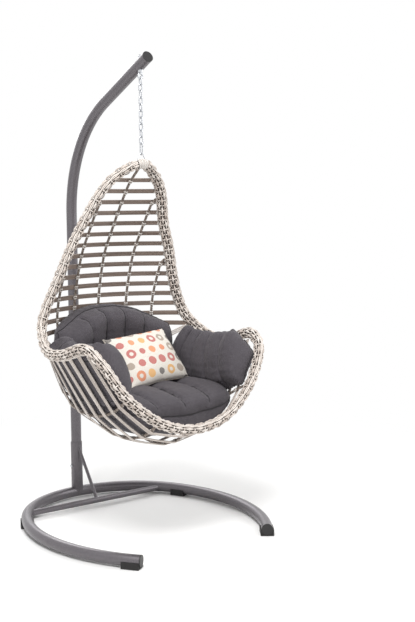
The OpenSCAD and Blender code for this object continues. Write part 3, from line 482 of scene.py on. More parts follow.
class Mat:
    """Short hand for a procedural material."""

    def __init__(self, name, base, rough, metal=0.0, **more):
        self.m = bpy.data.materials.new(name)
        self.m.use_nodes = True
        self.t = self.m.node_tree
        self.s = self.t.nodes["Principled BSDF"]
        self.s.inputs["Base Color"].default_value = base
        self.s.inputs["Roughness"].default_value = rough
        self.s.inputs["Metallic"].default_value = metal
        for k, v in more.items():
            self.s.inputs[k.replace("_", " ")].default_value = v

    def n(self, kind, **sets):
        q = self.t.nodes.new("ShaderNode" + kind)
        for k, v in sets.items():
            if hasattr(q, k):
                setattr(q, k, v)
            else:
                q.inputs[k.replace("_", " ")].default_value = v
        return q

    def j(self, a, b):
        self.t.links.new(a, b)
        return b

    def attr(self, name, out="Fac"):
        return self.n("Attribute", attribute_name=name).outputs[out]

    def obj(self):
        return self.n("TexCoord").outputs["Object"]

    def noise(self, vec, scale, detail=3.0, rough=0.5, stretch=None, distortion=0.0):
        if stretch:
            mp = self.n("Mapping")
            mp.inputs["Scale"].default_value = stretch
            self.j(vec, mp.inputs["Vector"])
            vec = mp.outputs["Vector"]
        q = self.n("TexNoise")
        q.inputs["Scale"].default_value = scale
        q.inputs["Detail"].default_value = detail
        q.inputs["Roughness"].default_value = rough
        q.inputs["Distortion"].default_value = distortion
        self.j(vec, q.inputs["Vector"])
        return q.outputs["Fac"]

    def wave(self, vec, scale, direction="X", distortion=0.0, turn=None):
        if turn:
            mp = self.n("Mapping")
            mp.inputs["Rotation"].default_value = turn
            self.j(vec, mp.inputs["Vector"])
            vec = mp.outputs["Vector"]
        q = self.n("TexWave", wave_type="BANDS", bands_direction=direction)
        q.inputs["Scale"].default_value = scale
        q.inputs["Distortion"].default_value = distortion
        q.inputs["Detail"].default_value = 1.0
        self.j(vec, q.inputs["Vector"])
        return q.outputs["Fac"]

    def ramp(self, fac, stops, mode="LINEAR"):
        q = self.n("ValToRGB")
        q.color_ramp.interpolation = mode
        e = q.color_ramp.elements
        while len(e) < len(stops):
            e.new(0.5)
        for el, (p, c) in zip(e, stops):
            el.position, el.color = p, c
        self.j(fac, q.inputs["Fac"])
        return q.outputs["Color"]

    def math(self, op, a, b=None, c=None):
        q = self.n("Math", operation=op)
        for i, x in enumerate((a, b, c)):
            if x is None:
                continue
            if isinstance(x, (int, float)):
                q.inputs[i].default_value = x
            else:
                self.j(x, q.inputs[i])
        return q.outputs[0]

    def mix(self, fac, a, b, mode="MIX"):
        q = self.n("Mix", data_type="RGBA", blend_type=mode)
        for key, x in ((0, fac), (6, a), (7, b)):
            if isinstance(x, (int, float, tuple)):
                q.inputs[key].default_value = x
            else:
                self.j(x, q.inputs[key])
        return q.outputs[2]

    def colour(self, sock):
        self.j(sock, self.s.inputs["Base Color"])
        return self

    def rough(self, sock, lo, hi):
        q = self.n("MapRange")
        q.inputs["To Min"].default_value = lo
        q.inputs["To Max"].default_value = hi
        self.j(sock, q.inputs["Value"])
        self.j(q.outputs[0], self.s.inputs["Roughness"])
        return self

    def bump(self, sock, depth, strength=0.6):
        q = self.n("Bump")
        q.inputs["Strength"].default_value = strength
        q.inputs["Distance"].default_value = depth
        self.j(sock, q.inputs["Height"])
        prev = self.s.inputs["Normal"].links
        if prev:
            self.j(prev[0].from_socket, q.inputs["Normal"])
        self.j(q.outputs["Normal"], self.s.inputs["Normal"])
        return self


def strand_mat(name, dark, mid, light):
    """Flat or round plastic strand: fine streaks along it, tone that differs from strand to strand."""
    m = Mat(name, mid, 0.5)
    lay = m.attr("lay", "Vector")
    tone = m.attr("tone")
    streak = m.noise(lay, 1.0, 4.0, 0.6, stretch=(0.035, 1.6, 1.0))
    grain = m.noise(lay, 1.0, 2.0, 0.5, stretch=(0.25, 5.0, 1.0))
    f = m.math("ADD", m.math("MULTIPLY", tone, 0.42), m.math("MULTIPLY", streak, 0.58))
    c = m.ramp(f, [(0.22, dark), (0.5, mid), (0.78, light)])
    c = m.mix(m.math("MULTIPLY", grain, 0.22), c, dark)
    m.colour(c)
    m.rough(streak, 0.38, 0.62)
    m.bump(streak, 0.0006, 0.5)
    m.bump(grain, 0.0003, 0.4)
    return m.m


weave_mat = strand_mat("woven_strand", lin(166, 152, 142), lin(214, 203, 194), lin(243, 238, 232))
strip_mat = strand_mat("pale_strip", lin(158, 146, 138), lin(205, 195, 187), lin(232, 225, 218))
rope_mat = strand_mat("rib_strand", lin(84, 74, 67), lin(130, 117, 108), lin(174, 162, 152))
wrap_mat = strand_mat("lashing_strand", lin(168, 158, 150), lin(214, 207, 200), lin(240, 236, 232))


# dark brown strand colours: painted shade for the inside of the woven rim
rim_shade_mat = strand_mat("shadow_wrap", lin(52, 44, 40), lin(74, 64, 58), lin(96, 84, 77))


def slat_material():
    m = Mat("taupe_slat", lin(128, 112, 103), 0.52)
    o = m.obj()
    streak = m.noise(o, 1.0, 4.0, 0.6, stretch=(5.0, 5.0, 420.0))
    blotch = m.noise(o, 9.0, 2.0)
    c = m.ramp(streak, [(0.3, lin(112, 97, 88)), (0.52, lin(142, 126, 116)), (0.74, lin(170, 154, 143))])
    c = m.mix(m.math("MULTIPLY", blotch, 0.35), c, lin(104, 90, 82))
    m.colour(c).rough(streak, 0.42, 0.66).bump(streak, 0.0005, 0.5)
    return m.m


def steel_material():
    m = Mat("anthracite_steel", lin(52, 49, 52), 0.29, 0.62, Coat_Weight=0.25, Coat_Roughness=0.25)
    o = m.obj()
    fleck = m.noise(o, 900.0, 2.0, 0.7)
    cloud = m.noise(o, 6.0, 3.0)
    peel = m.noise(o, 260.0, 2.0)
    c = m.ramp(fleck, [(0.35, lin(84, 80, 84)), (0.55, lin(112, 108, 112)), (0.72, lin(148, 144, 149))])
    c = m.mix(m.math("MULTIPLY", cloud, 0.25), c, lin(88, 84, 88))
    m.colour(c).rough(cloud, 0.30, 0.44).bump(peel, 0.0002, 0.35)
    return m.m


def zinc_material():
    m = Mat("galvanised", lin(196, 198, 202), 0.28, 1.0)
    o = m.obj()
    spangle = m.n("TexVoronoi")
    spangle.inputs["Scale"].default_value = 260.0
    m.j(o, spangle.inputs["Vector"])
    cloud = m.noise(o, 120.0, 3.0)
    c = m.ramp(m.math("ADD", m.math("MULTIPLY", spangle.outputs["Distance"], 0.6), m.math("MULTIPLY", cloud, 0.5)),
               [(0.2, lin(150, 153, 158)), (0.6, lin(206, 208, 212)), (0.9, lin(226, 228, 230))])
    m.colour(c).rough(cloud, 0.20, 0.42).bump(cloud, 0.0002, 0.3)
    return m.m


def black_material(name, rough, base):
    m = Mat(name, base, rough)
    o = m.obj()
    grain = m.noise(o, 700.0, 3.0, 0.7)
    cloud = m.noise(o, 30.0, 3.0)
    c = m.mix(m.math("MULTIPLY", cloud, 0.5), base, lin(40, 38, 38))
    m.colour(c).rough(cloud, rough - 0.08, rough + 0.1).bump(grain, 0.0002, 0.5)
    return m.m


def cloth_material(name, dark, mid, light):
    """Outdoor cloth: fine light diagonal lines over grey, slight slubs, soft sheen."""
    m = Mat(name, mid, 0.88, Sheen_Weight=0.10, Sheen_Roughness=0.45)
    o = m.obj()
    a = m.wave(o, 150.0, "DIAGONAL", 0.6)
    b = m.wave(o, 150.0, "DIAGONAL", 0.6, turn=(0.0, math.radians(90), 0.0))
    slub = m.noise(o, 320.0, 2.0, 0.6)
    big = m.noise(o, 7.0, 3.0, 0.55)
    w = m.math("MULTIPLY", m.math("ADD", a, b), 0.5)
    f = m.math("ADD", m.math("MULTIPLY", w, 0.55), m.math("MULTIPLY", slub, 0.45))
    c = m.ramp(f, [(0.28, dark), (0.52, mid), (0.80, light)])
    c = m.mix(m.math("MULTIPLY", big, 0.30), c, dark)
    m.colour(c).rough(slub, 0.80, 0.96)
    m.bump(m.noise(o, 16.0, 3.0, 0.5, distortion=0.8), 0.006, 0.35)
    m.bump(f, 0.0005, 0.5)
    return m.m


def pillow_material():
    """Natural canvas printed with rows of dots and rings of several sizes."""
    m = Mat("dotted_canvas", lin(228, 222, 212), 0.85, Sheen_Weight=0.1)
    uv = m.n("UVMap", uv_map="face").outputs["UV"]
    sep = m.n("SeparateXYZ")
    m.j(uv, sep.inputs[0])
    x, y = sep.outputs["X"], sep.outputs["Y"]
    row = m.math("FLOOR", m.math("MULTIPLY", y, 1.0))
    xs = m.math("ADD", x, m.math("MULTIPLY", row, 0.5))
    cx, cy = m.math("FLOOR", xs), row
    fx = m.math("SUBTRACT", m.math("SUBTRACT", xs, cx), 0.5)
    fy = m.math("SUBTRACT", m.math("SUBTRACT", y, cy), 0.5)
    comb = m.n("CombineXYZ")
    m.j(cx, comb.inputs[0])
    m.j(cy, comb.inputs[1])
    wn = m.n("TexWhiteNoise", noise_dimensions="3D")
    m.j(comb.outputs[0], wn.inputs["Vector"])
    rnd = wn.outputs["Value"]
    dyes = m.ramp(rnd, [(0.0, lin(214, 110, 42)), (0.17, lin(66, 60, 62)), (0.33, lin(222, 160, 66)),
                        (0.5, lin(178, 48, 46)), (0.66, lin(150, 132, 116)), (0.83, lin(226, 128, 60))], "CONSTANT")
    wob = m.math("MULTIPLY", m.math("SUBTRACT", m.noise(uv, 3.0, 2.0), 0.5), 0.10)
    square = m.math("ADD", m.math("MULTIPLY", fx, fx), m.math("MULTIPLY", fy, fy))
    r = m.math("ADD", m.math("SQRT", square), wob)
    wn2 = m.n("TexWhiteNoise", noise_dimensions="3D")
    off = m.n("VectorMath", operation="ADD")
    off.inputs[1].default_value = (7.3, 1.9, 0.0)
    m.j(comb.outputs[0], off.inputs[0])
    m.j(off.outputs[0], wn2.inputs["Vector"])
    size = m.math("ADD", 0.26, m.math("MULTIPLY", wn2.outputs["Value"], 0.17))
    disc = m.math("LESS_THAN", r, size)
    ringed = m.math("GREATER_THAN", wn2.outputs["Value"], 0.62)
    hole = m.math("MULTIPLY", m.math("LESS_THAN", r, m.math("MULTIPLY", size, 0.42)), ringed)
    mask = m.math("SUBTRACT", disc, hole)
    o = m.obj()
    thread = m.noise(o, 520.0, 2.0, 0.7)
    ground = m.ramp(thread, [(0.3, lin(206, 198, 187)), (0.6, lin(232, 227, 218)), (0.8, lin(244, 240, 233))])
    ink = m.mix(m.math("MULTIPLY", thread, 0.35), dyes, lin(228, 222, 212))
    m.colour(m.mix(m.math("MULTIPLY", mask, 0.93), ground, ink)).rough(thread, 0.78, 0.95)
    m.bump(m.noise(o, 18.0, 3.0, 0.5, distortion=0.6), 0.005, 0.35)
    m.bump(thread, 0.0004, 0.5)
    return m.m


steel = steel_material()
zinc = zinc_material()
slat_m = slat_material()
plug = black_material("black_plastic", 0.42, lin(30, 29, 30))
rubber = black_material("foot_rubber", 0.78, lin(34, 33, 33))
cloth = cloth_material("grey_cloth", lin(46, 42, 46), lin(74, 69, 74), lin(118, 114, 121))
# seam cords much darker than the cloth: real stitching, coloured with painted shade for the creases along the seams
seam_shade_m = cloth_material("seam_thread_painted_shade", lin(24, 22, 24), lin(34, 32, 35), lin(48, 46, 50))
canvas = pillow_material()
hem_m = cloth_material("canvas_seam", lin(190, 182, 170), lin(214, 207, 196), lin(232, 227, 219))

STEEL = ("base_ring", "cross_bar", "strut", "post_socket", "mast", "rim_core")
for name, ob in NODES.items():
    if name in STEEL:
        m = steel
    elif name in ("mast_cap", "end_plugs"):
        m = plug
    elif name == "foot_pads":
        m = rubber
    elif name.startswith("slat"):
        m = slat_m
    elif name.startswith("strips"):
        m = strip_mat
    elif name.startswith("rib") or name in ("rim_weave", "hanger_binding"):
        m = weave_mat
    elif name.endswith("cushion") or name.startswith("arm_"):
        m = cloth
    elif name == "throw_pillow":
        m = canvas
    else:
        m = zinc
    for k in range(max(1, len(ob.material_slots))):
        if not ob.material_slots:
            ob.data.materials.append(m)
        else:
            ob.material_slots[k].material = m


def put(ob, body, slot, *nodes):
    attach(ob, body)
    if nodes:
        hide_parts(*nodes)
    return ob


# ---------------------------------------------------------------- woven rim
def rim_path(step):
    s = np.linspace(0, 28, 28 * 60 + 1)[:-1]
    p = np.array([rim_at(q) for q in s])
    loop = np.vstack([p, p[:1]])
    cum = np.r_[0, np.cumsum(np.linalg.norm(np.diff(loop, axis=0), axis=1))]
    n = int(round(cum[-1] / step))
    q = np.linspace(0, cum[-1], n, endpoint=False)
    ss = np.r_[s, 28.0]
    where = np.interp(q, cum, ss)
    P = np.array([rim_at(w) for w in where])
    D = np.array([rim_at(w, 1) for w in where])
    T = unit(np.roll(P, -1, 0) - np.roll(P, 1, 0))
    U = unit(D - (D * T).sum(1, keepdims=True) * T)
    return P, T, U, np.cross(T, U), where, cum[-1]


PITCH = 25.0
SUB = 6
length = rim_path(50)[5]
stakes = int(round(length / PITCH / 2)) * 2
P, T, U, V, WHERE, length = rim_path(length / (stakes * SUB))
N = len(P)
phase = np.arange(N) / SUB * math.pi
OPEN = (WHERE > 0.23) & (WHERE < 27.77)
ROWS = 10
A0, B0 = 19.0, 15.4


def ring_dir(a):
    """Place and outward way on the rim's oval at angle a."""
    c, s = math.cos(a), math.sin(a)
    out = unit(np.stack([c / A0, s / B0]).T)
    return c * A0 * U + s * B0 * V, out[0] * U + out[1] * V


def runs(mask):
    """Index runs of a mask on a closed path, as arrays that may pass the end."""
    idx = np.flatnonzero(mask & ~np.roll(mask, 1))
    out = []
    for i in idx:
        k = i
        r = []
        while mask[k % N]:
            r.append(k % N)
            k += 1
        out.append(np.array(r))
    return out


body_run = runs(OPEN)[0]
rim = Batch()
for r in range(ROWS):
    a = 2 * math.pi * (r + 0.5) / ROWS
    off, out = ring_dir(a)
    if r in (0, 5):
        # twisted pair along each edge of the band
        for h in (0, math.pi):
            tw = phase * 0.5 + h + r
            side = np.cross(T, out)
            p = P + off + out * (2.0 + 2.0 * np.sin(tw))[:, None] + side * (3.2 * np.cos(tw))[:, None]
            k = body_run
            _, s2, u2 = frames(p[k], out[k])
            rim.sweep(p[k], s2, u2, 3.1, 2.7, 6, tone=0.6 + 0.35 * rng.random())
    else:
        sign = 1 if r % 2 else -1
        w = sign * np.cos(phase)
        jit = 1 + 0.05 * np.sin(phase * 0.37 + r * 2.1)
        lift = np.sign(w) * np.abs(w) ** 0.7
        p = P + off + out * (0.4 + 3.6 * lift)[:, None]
        k = body_run
        _, s2, u2 = frames(p[k], out[k])
        draws = np.repeat(rng.random(N // SUB // 2 + 2), SUB * 2)
        tone = draws[(np.arange(N) + (SUB if sign > 0 else 0)) % N][k] * 0.8 + 0.1
        rim.sweep(p[k], s2, u2, (3.35 + 1.75 * lift[k]) * jit[k], 2.5 + 0.4 * w[k], 6, tone=tone)
# stakes that cross under and over the strands, with their ends showing
for i in range(0, N, SUB):
    if not OPEN[i]:
        continue
    for half in range(4):
        a = np.linspace(half * math.pi / 2 + 0.10, half * math.pi / 2 + math.pi / 2 - 0.10, 7)
        par = ((i // SUB) + half) % 2
        lift = np.where(par, 1.2, -1.2) * np.cos(np.linspace(0, 3 * math.pi, 7))
        q = P[i] + (np.cos(a) * (A0 + lift))[:, None] * U[i] + (np.sin(a) * (B0 + lift))[:, None] * V[i]
        _, s2, u2 = frames(q, q - P[i])
        rim.sweep(q, s2, u2, 2.9, 2.1, 6, tone=0.55 + 0.45 * rng.random())
    for a in (math.radians(52), math.radians(128), math.radians(232), math.radians(308)):
        if ((i // SUB) + int(a * 2)) % 2:
            continue
        o = math.cos(a) * U[i] * (A0 + 1) + math.sin(a) * V[i] * (B0 + 1)
        e = unit(o)
        q = np.array([P[i] + o + e * z for z in (0.0, 2.2, 4.2)])
        s2 = np.broadcast_to(T[i], q.shape)
        u2 = np.broadcast_to(np.cross(T[i], e), q.shape)
        rim.sweep(q, s2, u2, np.array([2.7, 2.7, 2.0]), np.array([2.7, 2.7, 2.0]), 6, tone=0.97)
put(rim.piece("woven_rim", weave_mat), "basket", "weave", "rim_weave")
# a dark tube just inside the woven strands: painted shade that shows through the gaps of the weave
core = Batch()
k = body_run[::3]
_, s2, u2 = frames(P[k], U[k])
core.sweep(P[k], s2, u2, 13.4, 17.0, 14, tone=0.1)
put(core.piece("rim_painted_shade_core", rim_shade_mat), "basket", "weave")

# flat ends of the slats, which run into the weave and are tied there
ends = Batch()
ties = Batch()
top = np.array([rim_at(q) for q in np.linspace(0.2, 8, 800)])
for z, r, cy, half, lean in (slat_row(k) for k in range(1, SLATS_N + 1)):
    for m in (1, -1):
        a = math.radians(half)
        flip = np.array([m, 1, 1.0])
        e = np.array([r * math.sin(a), cy + r * math.cos(a), z])
        back_e = np.array([r * math.sin(a * 0.985), cy + r * math.cos(a * 0.985), z])
        c = top[int(np.argmin(np.abs(top[:, 2] - z)))]
        q = np.array([back_e, e, e + (c - e) * 0.6, c]) * flip
        la = math.radians(lean)
        upv = np.array([0, -math.sin(la), math.cos(la)])
        _, s2, u2 = frames(q, np.broadcast_to(upv, q.shape))
        ends.sweep(q, s2, u2, 1.9, 9.9, square=True, tone=rng.random())
        w = unit(c - e)
        at = c * flip - unit((c - e) * flip) * 21
        for sh in (-4.5, 0, 4.5):
            aa = np.linspace(0, 2 * math.pi, 22)
            n1 = unit(np.cross(upv, w * flip))
            cc = at + w * flip * sh + (np.cos(aa) * 11.2)[:, None] * upv + (np.sin(aa) * 3.4)[:, None] * n1
            _, s3, u3 = frames(cc, cc - (at + w * flip * sh))
            ties.sweep(cc, s3, u3, 1.9, 0.8, square=True, tone=0.5 + 0.4 * rng.random())
put(ends.piece("slat_ends", slat_m), "basket", "strip")
put(ties.piece("slat_ties", wrap_mat), "basket", "weave")

# ---------------------------------------------------------------- binding at the top
bind = Batch()
sb = np.linspace(-0.20, 0.20, 200)
pb = np.array([rim_at(q % 28) for q in sb])
tb = unit(np.gradient(pb, axis=0))
db = np.array([rim_at(q % 28, 1) for q in sb])
ub = unit(db - (db * tb).sum(1, keepdims=True) * tb)
vb = np.cross(tb, ub)
turns = 7
ab = np.linspace(0, 2 * math.pi * turns, 200)
cb = pb + (np.cos(ab) * 22.2)[:, None] * ub + (np.sin(ab) * 18.4)[:, None] * vb
ob_ = unit(cb - pb)
_, s2, u2 = frames(cb, ob_)
bind.sweep(cb, s2, u2, 2.6, 1.0, square=True, tone=0.7 + 0.2 * np.sin(ab * 0.5))
angles = np.linspace(0, 2 * math.pi, 17)[:-1]
skin_r = [pb + (math.cos(a) * 20.6) * ub + (math.sin(a) * 16.8) * vb for a in angles]
ring = np.stack(skin_r, 1)[::20]
m_, k_ = ring.shape[:2]
bind.v.append(ring.reshape(-1, 3))
bind.lay.append(np.zeros((m_ * k_, 3)))
bind.tone.append(np.full(m_ * k_, 0.2))
quads = [[i * k_ + j, i * k_ + (j + 1) % k_, (i + 1) * k_ + (j + 1) % k_, (i + 1) * k_ + j]
         for i in range(m_ - 1) for j in range(k_)]
bind.f.append(bind.n + np.array(quads))
bind.n += m_ * k_
put(bind.piece("top_binding", wrap_mat), "basket", "weave", "hanger_binding")

# ---------------------------------------------------------------- ribs: rope with lashings at each slat

def rib_piece(i, mirror, name, node):
    flip = MIR if mirror else np.ones(3)
    p = rib_line(i) * flip
    fine = smooth(p, sub=10)
    fine = resample(fine, 3.0)
    inward = unit(np.array([0, APEX[1] - 60, 1010.0]) - fine)
    t, s, u = frames(fine, inward)
    d = np.r_[0, np.cumsum(np.linalg.norm(np.diff(fine, axis=0), axis=1))]
    b = Batch()
    for k in range(3):
        a = d / 26.0 * 2 * math.pi + k * 2 * math.pi / 3
        q = fine + 2.9 * (np.cos(a)[:, None] * s + np.sin(a)[:, None] * u)
        _, ss, uu = frames(q, u)
        b.sweep(q, ss, uu, 3.2, 3.2, 6, tone=0.2 + 0.3 * k)
    rope = put(b.piece(name, rope_mat), "basket", "weave", node)
    w = Batch()
    crossings = p[1:-1]
    for c in crossings:
        j = int(np.argmin(np.linalg.norm(fine - c, axis=1)))
        for lean in (-1, 1):
            m = 30
            a = np.linspace(0, 2 * math.pi * 1.5, m)
            along = np.linspace(-7.5, 7.5, m) * lean
            wide, high = (7.4 * np.cos(a))[:, None], (7.0 * np.sin(a) - 0.3)[:, None]
            cc = fine[j] + along[:, None] * t[j] + wide * s[j] + high * u[j]
            _, ss, uu = frames(cc, cc - fine[j])
            w.sweep(cc, ss, uu, 2.1, 0.9, square=True, tone=0.55 + 0.4 * rng.random())
    put(w.piece(name + "_lashing", wrap_mat), "basket", "weave")
    return rope


rib_piece(0, False, "middle_rib", "rib_middle")
rib_piece(1, False, "right_inner_rib", "rib_right_inner")
rib_piece(2, False, "right_outer_rib", "rib_right_outer")
rib_piece(1, True, "left_inner_rib", "rib_left_inner")
rib_piece(2, True, "left_outer_rib", "rib_left_outer")

# ---------------------------------------------------------------- bowl strips: three narrow flats side by side
for pair in range(5):
    b = Batch()
    for j in (2 * pair, 2 * pair + 1):
        half = strip_keys(j + 1)
        full = np.concatenate([(half[::-1] * np.tile(MIR, 3))[:-1], half])
        c, nrm, wid = full[:, :3], full[:, 3:6], full[:, 6:9]
        wid = wid * np.sign((wid @ wid[3]))[:, None]
        nrm = nrm * np.sign((nrm * (np.array([0, APEX[1], 900.0]) - c)).sum(1))[:, None]
        keys = np.hstack([c, nrm, wid])
        steps = np.linspace(0, 1, 10, endpoint=False)
        fine = [keys[k] + (keys[k + 1] - keys[k]) * t for k in range(6) for t in steps]
        fine = np.vstack(fine + [keys[-1:]])
        soft_c = smooth(c, sub=10)
        f_c = 0.75 * fine[:, :3] + 0.25 * soft_c
        for lane in (-1, 0, 1):
            q = f_c + unit(fine[:, 6:9]) * (lane * 6.9)
            bow = 0.9 * lane * np.sin(np.linspace(0, math.pi * 5, len(q)) + j)
            q = q + unit(fine[:, 6:9]) * bow[:, None]
            _, s2, u2 = frames(q, fine[:, 3:6])
            b.sweep(q, s2, u2, 3.05, 1.9, square=True, tone=0.25 + 0.7 * rng.random())
    put(b.piece("bowl_strips_%02d_%02d" % (16 + 2 * pair, 17 + 2 * pair), strip_mat), "basket", "strip",
        "strips_%02d_%02d" % (16 + 2 * pair, 17 + 2 * pair))


# ---------------------------------------------------------------- soft parts
def make_object(name, v, f):
    me = bpy.data.meshes.new(name)
    me.from_pydata([tuple(map(float, r)) for r in v], [], [tuple(map(int, r)) for r in f])
    me.update()
    ob = bpy.data.objects.new(name, me)
    bpy.context.scene.collection.objects.link(ob)
    return ob


def baked(ob):
    """The object with its modifiers applied."""
    bpy.context.view_layer.update()
    dg = bpy.context.evaluated_depsgraph_get()
    me = bpy.data.meshes.new_from_object(ob.evaluated_get(dg))
    old = ob.data
    ob.modifiers.clear()
    ob.data = me
    bpy.data.meshes.remove(old)
    return ob


def coords(ob):
    v = np.zeros(len(ob.data.vertices) * 3, np.float32)
    ob.data.vertices.foreach_get("co", v)
    return v.reshape(-1, 3).astype(float)


def normals(ob):
    v = np.zeros(len(ob.data.vertices) * 3, np.float32)
    ob.data.vertex_normals.foreach_get("vector", v)
    return v.reshape(-1, 3).astype(float)


def set_coords(ob, v):
    ob.data.vertices.foreach_set("co", v.astype(np.float32).ravel())
    ob.data.update()


def near(v, line):
    """Distance of each point to a polyline's points, and the place along it."""
    line = np.asarray(line)
    best = np.full(len(v), 1e9)
    at = np.zeros(len(v))
    run = np.r_[0, np.cumsum(np.linalg.norm(np.diff(line, axis=0), axis=1))]
    for k in range(len(line)):
        d = np.linalg.norm(v - line[k], axis=1)
        m = d < best
        best[m], at[m] = d[m], run[k]
    return best, at


def soft(name, node, mat, low_side, channels, border, slot="cloth", fill=0.6, press=5.0, shrink=0.005,
         depth=0.012, cap=0.020, turn=None, on=(), grow=None, shape=None, bowl=False):
    """A padded piece from its node: remeshed, shaped, swollen by the cloth simulation and sewn in."""
    src = NODES[node]
    v = coords(src)
    me = src.data
    ob = make_object(name, v, [tuple(p.vertices) for p in me.polygons])
    md = ob.modifiers.new("weld", "WELD")
    md.merge_threshold = 0.00005
    md = ob.modifiers.new("remesh", "REMESH")
    md.mode = "VOXEL"
    md.voxel_size = 0.0065
    baked(ob)
    rest = coords(ob)
    nrm = normals(ob)
    low = low_side(rest, nrm)
    start = rest - nrm * (shrink * (1 - low))[:, None]
    lines = [resample(np.array(c) / 1000.0, 0.004) for c in channels]
    edge = resample(np.array(border) / 1000.0, 0.004, closed=True)
    if shape is not None:
        free = (1 - low)[:, None]
        rest, start = rest + (shape(rest) - rest) * free, start + (shape(start) - start) * free
        edge = shape(edge)
        lines = [shape(ln) for ln in lines]
        set_coords(ob, rest)
    dist = np.full(len(rest), 1e9)
    run = np.zeros(len(rest))
    for ln in lines:
        d, at = near(rest, ln)
        m = d < dist
        dist[m], run[m] = d[m], at[m]
    de, run_e = near(rest, edge)
    set_coords(ob, start)
    g = ob.vertex_groups.new(name="hold")
    hold = np.clip(low, 0, 1)
    hold = np.maximum(hold, np.clip(1.2 - dist / 0.012, 0, 1))
    hold = np.maximum(hold, np.clip(1.1 - de / 0.012, 0, 1))
    for w in range(0, 11):
        ids = np.flatnonzero(np.round(hold * 10).astype(int) == w)
        if w and len(ids):
            g.add([int(q) for q in ids], w / 10.0, "REPLACE")
    cl = ob.modifiers.new("cloth", "CLOTH")
    cs = cl.settings
    cs.quality = 4
    cs.mass = 0.3
    cs.use_pressure = True
    cs.uniform_pressure_force = press
    cs.vertex_group_mass = "hold"
    cs.pin_stiffness = 1.0
    cs.tension_stiffness = 12
    cs.compression_stiffness = 8
    cs.shear_stiffness = 4
    cs.bending_stiffness = 0.4
    cs.effector_weights.gravity = 0
    cl.collision_settings.use_collision = False
    cl.point_cache.frame_start = 1
    cl.point_cache.frame_end = 16
    sc = bpy.context.scene
    for f in range(1, 17):
        sc.frame_set(f)
    baked(ob)
    now = coords(ob)
    sc.frame_set(1)
    mv = now - start
    mv[~np.isfinite(mv).all(1)] = 0
    ln_ = np.linalg.norm(mv, axis=1, keepdims=True)
    mv = mv * np.minimum(1, cap / np.maximum(ln_, 1e-9))
    mv = mv * (1 - low)[:, None]
    v = start + mv
    # sewn channels: a sharp valley with gathers beside it
    open_ = 1 - low
    groove = np.exp(-dist / 0.006)
    beside = np.exp(-dist / 0.022) * (1 - np.exp(-dist / 0.005))
    pucker = 0.0016 * np.sin(run / 0.0042 + 3 * np.sin(run / 0.031)) * beside
    beside = np.exp(-de / 0.026) * (1 - np.exp(-de / 0.006))
    pucker += 0.0014 * np.sin(run_e / 0.0046 + 3 * np.sin(run_e / 0.043)) * beside
    x, y, z = v.T
    drape = 0.0022 * np.sin(x * 31 + 2.1 * np.sin(z * 23)) * np.sin(y * 27 + 1.7 * np.sin(x * 19))
    v = v + nrm * (open_ * (-depth * groove + pucker + drape))[:, None]
    v = v - nrm * (open_ * 0.0035 * np.exp(-de / 0.005))[:, None]
    if grow is not None:
        v = v + grow(v, nrm) * open_[:, None]
    if turn is not None:
        v = (np.c_[v, np.ones(len(v))] @ np.array(turn).T)[:, :3]
    if bowl:
        v = in_bowl(v)
    for other in on:
        ov = coords(other)
        tree = BVHTree.FromPolygons([Vector(q) for q in ov], [tuple(p.vertices) for p in other.data.polygons])
        for k, q in enumerate(v):
            loc, no, _, d = tree.find_nearest(Vector(q), 0.05)
            if loc is not None and (Vector(q) - loc).dot(no) < 0.0004:
                v[k] = np.array(loc + no * 0.0005)
    set_coords(ob, v)
    sm = ob.modifiers.new("smooth", "SMOOTH")
    sm.factor = 0.5
    sm.iterations = 1
    sd = ob.modifiers.new("sub", "SUBSURF")
    sd.levels = sd.render_levels = 1
    baked(ob)
    ob.data.materials.clear()
    ob.data.materials.append(mat)
    ob.data.polygons.foreach_set("use_smooth", [True] * len(ob.data.polygons))
    put(ob, "basket", slot, node)
    return ob, lines, edge


CHANNEL_CORD, EDGE_CORD = 0.0015, 0.0019


def cord_on(ob, line, r, closed=False, sink=0.0):
    """A thin sewn line laid on the surface of a piece."""
    v = coords(ob)
    bvh = BVHTree.FromPolygons([Vector(q) for q in v], [tuple(p.vertices) for p in ob.data.polygons])
    pts, ups = [], []
    for q in line:
        loc, no, _, d = bvh.find_nearest(Vector(q))
        if loc is None:
            continue
        pts.append(np.array(loc) + np.array(no) * (r * 0.4 - sink))
        ups.append(np.array(no))
    pts, ups = np.array(pts) * 1000, np.array(ups)
    if len(pts) < 4:
        return None
    ker = 2
    for _ in range(ker):
        if closed:
            pts = (np.roll(pts, 1, 0) + 2 * pts + np.roll(pts, -1, 0)) / 4
        else:
            pts[1:-1] = (pts[:-2] + 2 * pts[1:-1] + pts[2:]) / 4
    t, s, u = frames(pts, ups, closed)
    b = Batch()
    b.sweep(pts, s, u, r * 1000, r * 1000, 6, closed=closed)
    return b


def sewn(name, ob, lines, edge, mat, slot):
    b = Batch()
    for ln in lines:
        c = cord_on(ob, ln[1:-1], CHANNEL_CORD, sink=0.0005)
        if c:
            b.f += [f + b.n for f in c.f]
            b.v += c.v
            b.tone += c.tone
            b.lay += c.lay
            b.n += c.n
    c = cord_on(ob, edge, EDGE_CORD, closed=True)
    b.f += [f + b.n for f in c.f]
    b.v += c.v
    b.tone += c.tone
    b.lay += c.lay
    b.n += c.n
    return put(b.piece(name, mat), "basket", slot)


def side_of(fn):
    def low(v, n):
        o = fn(v)
        return np.clip(((n * unit(o)).sum(1) - 0.15) / 0.25, 0, 1)
    return low


def ramp(a, lo, hi):
    t = np.clip((a - lo) / (hi - lo), 0, 1)
    return t * t * (3 - 2 * t)


BOWL = np.array([0, -0.09, 0.80])


def bowl_table():
    """The strips as seen from the middle of the basket: a direction and how far away each lies."""
    q = np.concatenate([coords(NODES[n]) for n in NODES if n.startswith(("strips_", "rib_"))]) - BOWL
    q = q[q[:, 2] < 0.02]
    far = np.linalg.norm(q, axis=1)
    kd = KDTree(len(q))
    for k, d in enumerate(q / far[:, None]):
        kd.insert(Vector(d), k)
    kd.balance()
    return kd, far


